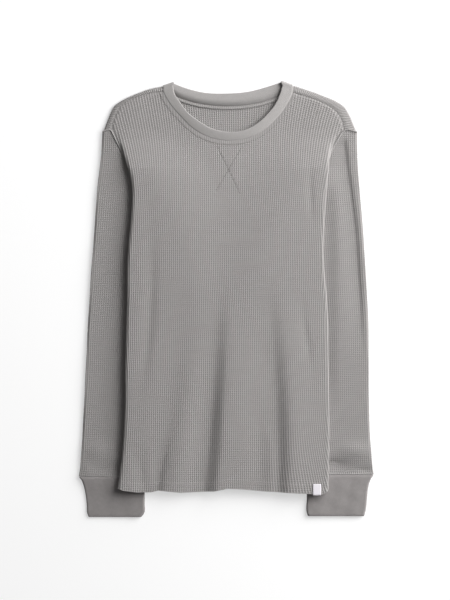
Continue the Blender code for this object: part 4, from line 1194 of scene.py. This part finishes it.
def plain(name, colour, roughness, fuzz=0.0):
    """A matt thread or woven finish with a fine weave bump."""
    made = new_finish(name)
    tree = made.node_tree
    place = link(tree, "TexCoord").node.outputs["Object"]
    weave = noise(tree, place, WEAVE_SCALE, 2.0)
    looks = {"Roughness": roughness, "Sheen Weight": fuzz}
    return surfaced(made, colour, WEAVE_SHADE, weave, weave, WEAVE_BUMP, looks)


label_low = LABEL_X - LABEL_WIDTH / 2, LABEL_HEM - LABEL_ARC - LABEL_TURN_IN
label_high = LABEL_X + LABEL_WIDTH / 2, LABEL_TOP
label_cloth = flat_cloth(label_low, label_high, 12, 24, LABEL_EDGE, LABEL_WALL)
label_white = plain("label_white", (0.75, 0.72, 0.76), roughness=0.6)
label_mesh = put_down("hem_label_woven", label_cloth, label_surface, flat=False)
label_piece = shown("hem_label_woven", label_mesh, label_white, "hem_label")

# --- Sewing ----------------------------------------------------------------------------------
# Grey cotton thread: cover stitching below the neck seam, along the hem and on the neck tape,
# and two rows of stitching that cross below the neck.

STITCH, STITCH_GAP = 2.6, 1.1          # length of a stitch, and the space after it
HEM_THREAD, NECK_THREAD, CROSS_THREAD = 0.55, 0.8, 0.9     # thickness of a stitch
HEM_SEWN, HEM_ROWS = (-178, 174), 4.0  # ends of the hem's stitching, and space between its rows
CROSS_RISE, NECK_RISE = -0.1, 0.1      # height of a stitch's middle over the knit
TAPE_SINK = 0.15                       # how far it lies below the face of the tape


def stitch_row(bm, line, height, thread):
    """Stitches along a line of points in the cloth, lying on it at a height above its middle."""
    reach = reaches(line)
    for start in np.arange(0, reach[-1] - STITCH, STITCH + STITCH_GAP):
        first, last = (at_reach(start + part, reach, line) for part in (0, STITCH))
        turn = math.atan2(last[1] - first[1], last[0] - first[0])
        size = Matrix.Diagonal((STITCH / 2, thread / 2, thread / 2, 1.0))
        place = Matrix.Translation((*(first + last) / 2, height))
        place = place @ Matrix.Rotation(turn, 4, "Z") @ size
        bmesh.ops.create_icosphere(bm, subdivisions=1, radius=1.0, matrix=place)


thread_grey = plain("thread_grey", (0.36, 0.34, 0.335), roughness=0.7, fuzz=0.2)
thread_dark = plain("thread_dark", (0.11, 0.10, 0.098), roughness=0.7, fuzz=0.1)
neck_rows, hem_rows, tape_rows = bmesh.new(), bmesh.new(), bmesh.new()
for row in CROSSING:
    stitch_row(neck_rows, np.array(row), FLOOR + CROSS_RISE, CROSS_THREAD)
neck_row = run(NECK_FRONT_SEAM, np.linspace(0, 1, 120))
neck_row = neck_row - leftwards(np.gradient(neck_row, axis=0)) * NECK_COVER
stitch_row(neck_rows, neck_row, FLOOR + NECK_RISE, NECK_THREAD)
hem_s = np.linspace(*HEM_SEWN, 120)
for offset in (HEM_COVER, HEM_COVER - HEM_ROWS):
    hem_row = np.stack([hem_s, hem_line(hem_s) + offset], axis=-1)
    stitch_row(hem_rows, hem_row, FLOOR + COVER_LIFT, HEM_THREAD)
for down in (TAPE_SEWN, TAPE_WIDTH - TAPE_SEWN):
    tape_row = np.array([(1, down), (TAPE_REACHES[-1] - 1, down)])
    stitch_row(tape_rows, tape_row, TAPE_WALL / 2 - TAPE_SINK, CROSS_THREAD)
sewn = (
    ("neck_sewing", neck_rows, front_surface, 1, thread_dark, "front", "body_waffle"),
    ("hem_sewing", hem_rows, front_surface, 1, thread_grey, "front", "body_waffle"),
    ("tape_sewing", tape_rows, tape_surface, -1, thread_dark, "neck_tape", "neck_tape"),
)
for name, rows, surface, facing, thread, node, slot in sewn:
    mesh = put_down(name, rows, surface, facing, flat=False)
    shown(name, mesh, thread, node, sewn_on=True)

# --- Floor, light and camera -----------------------------------------------------------------
# A pale surface under the top, which glows faintly so that it stays near white, a large soft
# light that stands low at the upper right, a weak one overhead, and a camera straight above.

FLOOR_HALF, FLOOR_DROP = 6.0, 0.0004   # in metres, as all places in this section
VIEW_HEIGHT = 1.032    # what is seen from top to bottom of the picture
CAMERA_HEIGHT, CAMERA_BASE = 3.2, 0.012   # height over the middle of the cloth, and its height


def lamp(name, size, power, place):
    """A soft square light that shines on the middle of the top."""
    light = bpy.data.lights.new(name, "AREA")
    light.shape, light.size, light.energy = "SQUARE", size, power
    made = in_scene(name, light)
    made.location = place
    made.rotation_euler = (-Vector(place)).to_track_quat("-Z", "Y").to_euler()


bm = bmesh.new()
bmesh.ops.create_grid(bm, x_segments=1, y_segments=1, size=FLOOR_HALF)
floor = in_scene("floor", mesh_of("floor", bm))
floor.location.z = -FLOOR_DROP
floor_white = new_finish("floor_white")
set_inputs(floor_white.node_tree.nodes["Principled BSDF"], {
    "Base Color": (0.45, 0.45, 0.45, 1), "Emission Color": (1, 1, 1, 1),
    "Emission Strength": 0.53, "Roughness": 0.8,
})
floor.data.materials.append(floor_white)

lamp("key_light", size=2.6, power=204.0, place=(2.0, 1.25, 1.20))
lamp("fill_light", size=3.0, power=3.0, place=(-0.6, 0.2, 3.4))
world = bpy.data.worlds.new("studio")
world.use_nodes = True
set_inputs(world.node_tree.nodes["Background"], {"Color": (1, 1, 1, 1), "Strength": 0.15})
bpy.context.scene.world = world
bpy.context.scene.view_settings.view_transform = "Standard"

camera = in_scene("camera", bpy.data.cameras.new("camera"))
camera.data.lens = camera.data.sensor_width / VIEW_HEIGHT * CAMERA_HEIGHT
camera.location = (-0.0023, -0.0022, CAMERA_HEIGHT + CAMERA_BASE)
bpy.context.scene.camera = camera
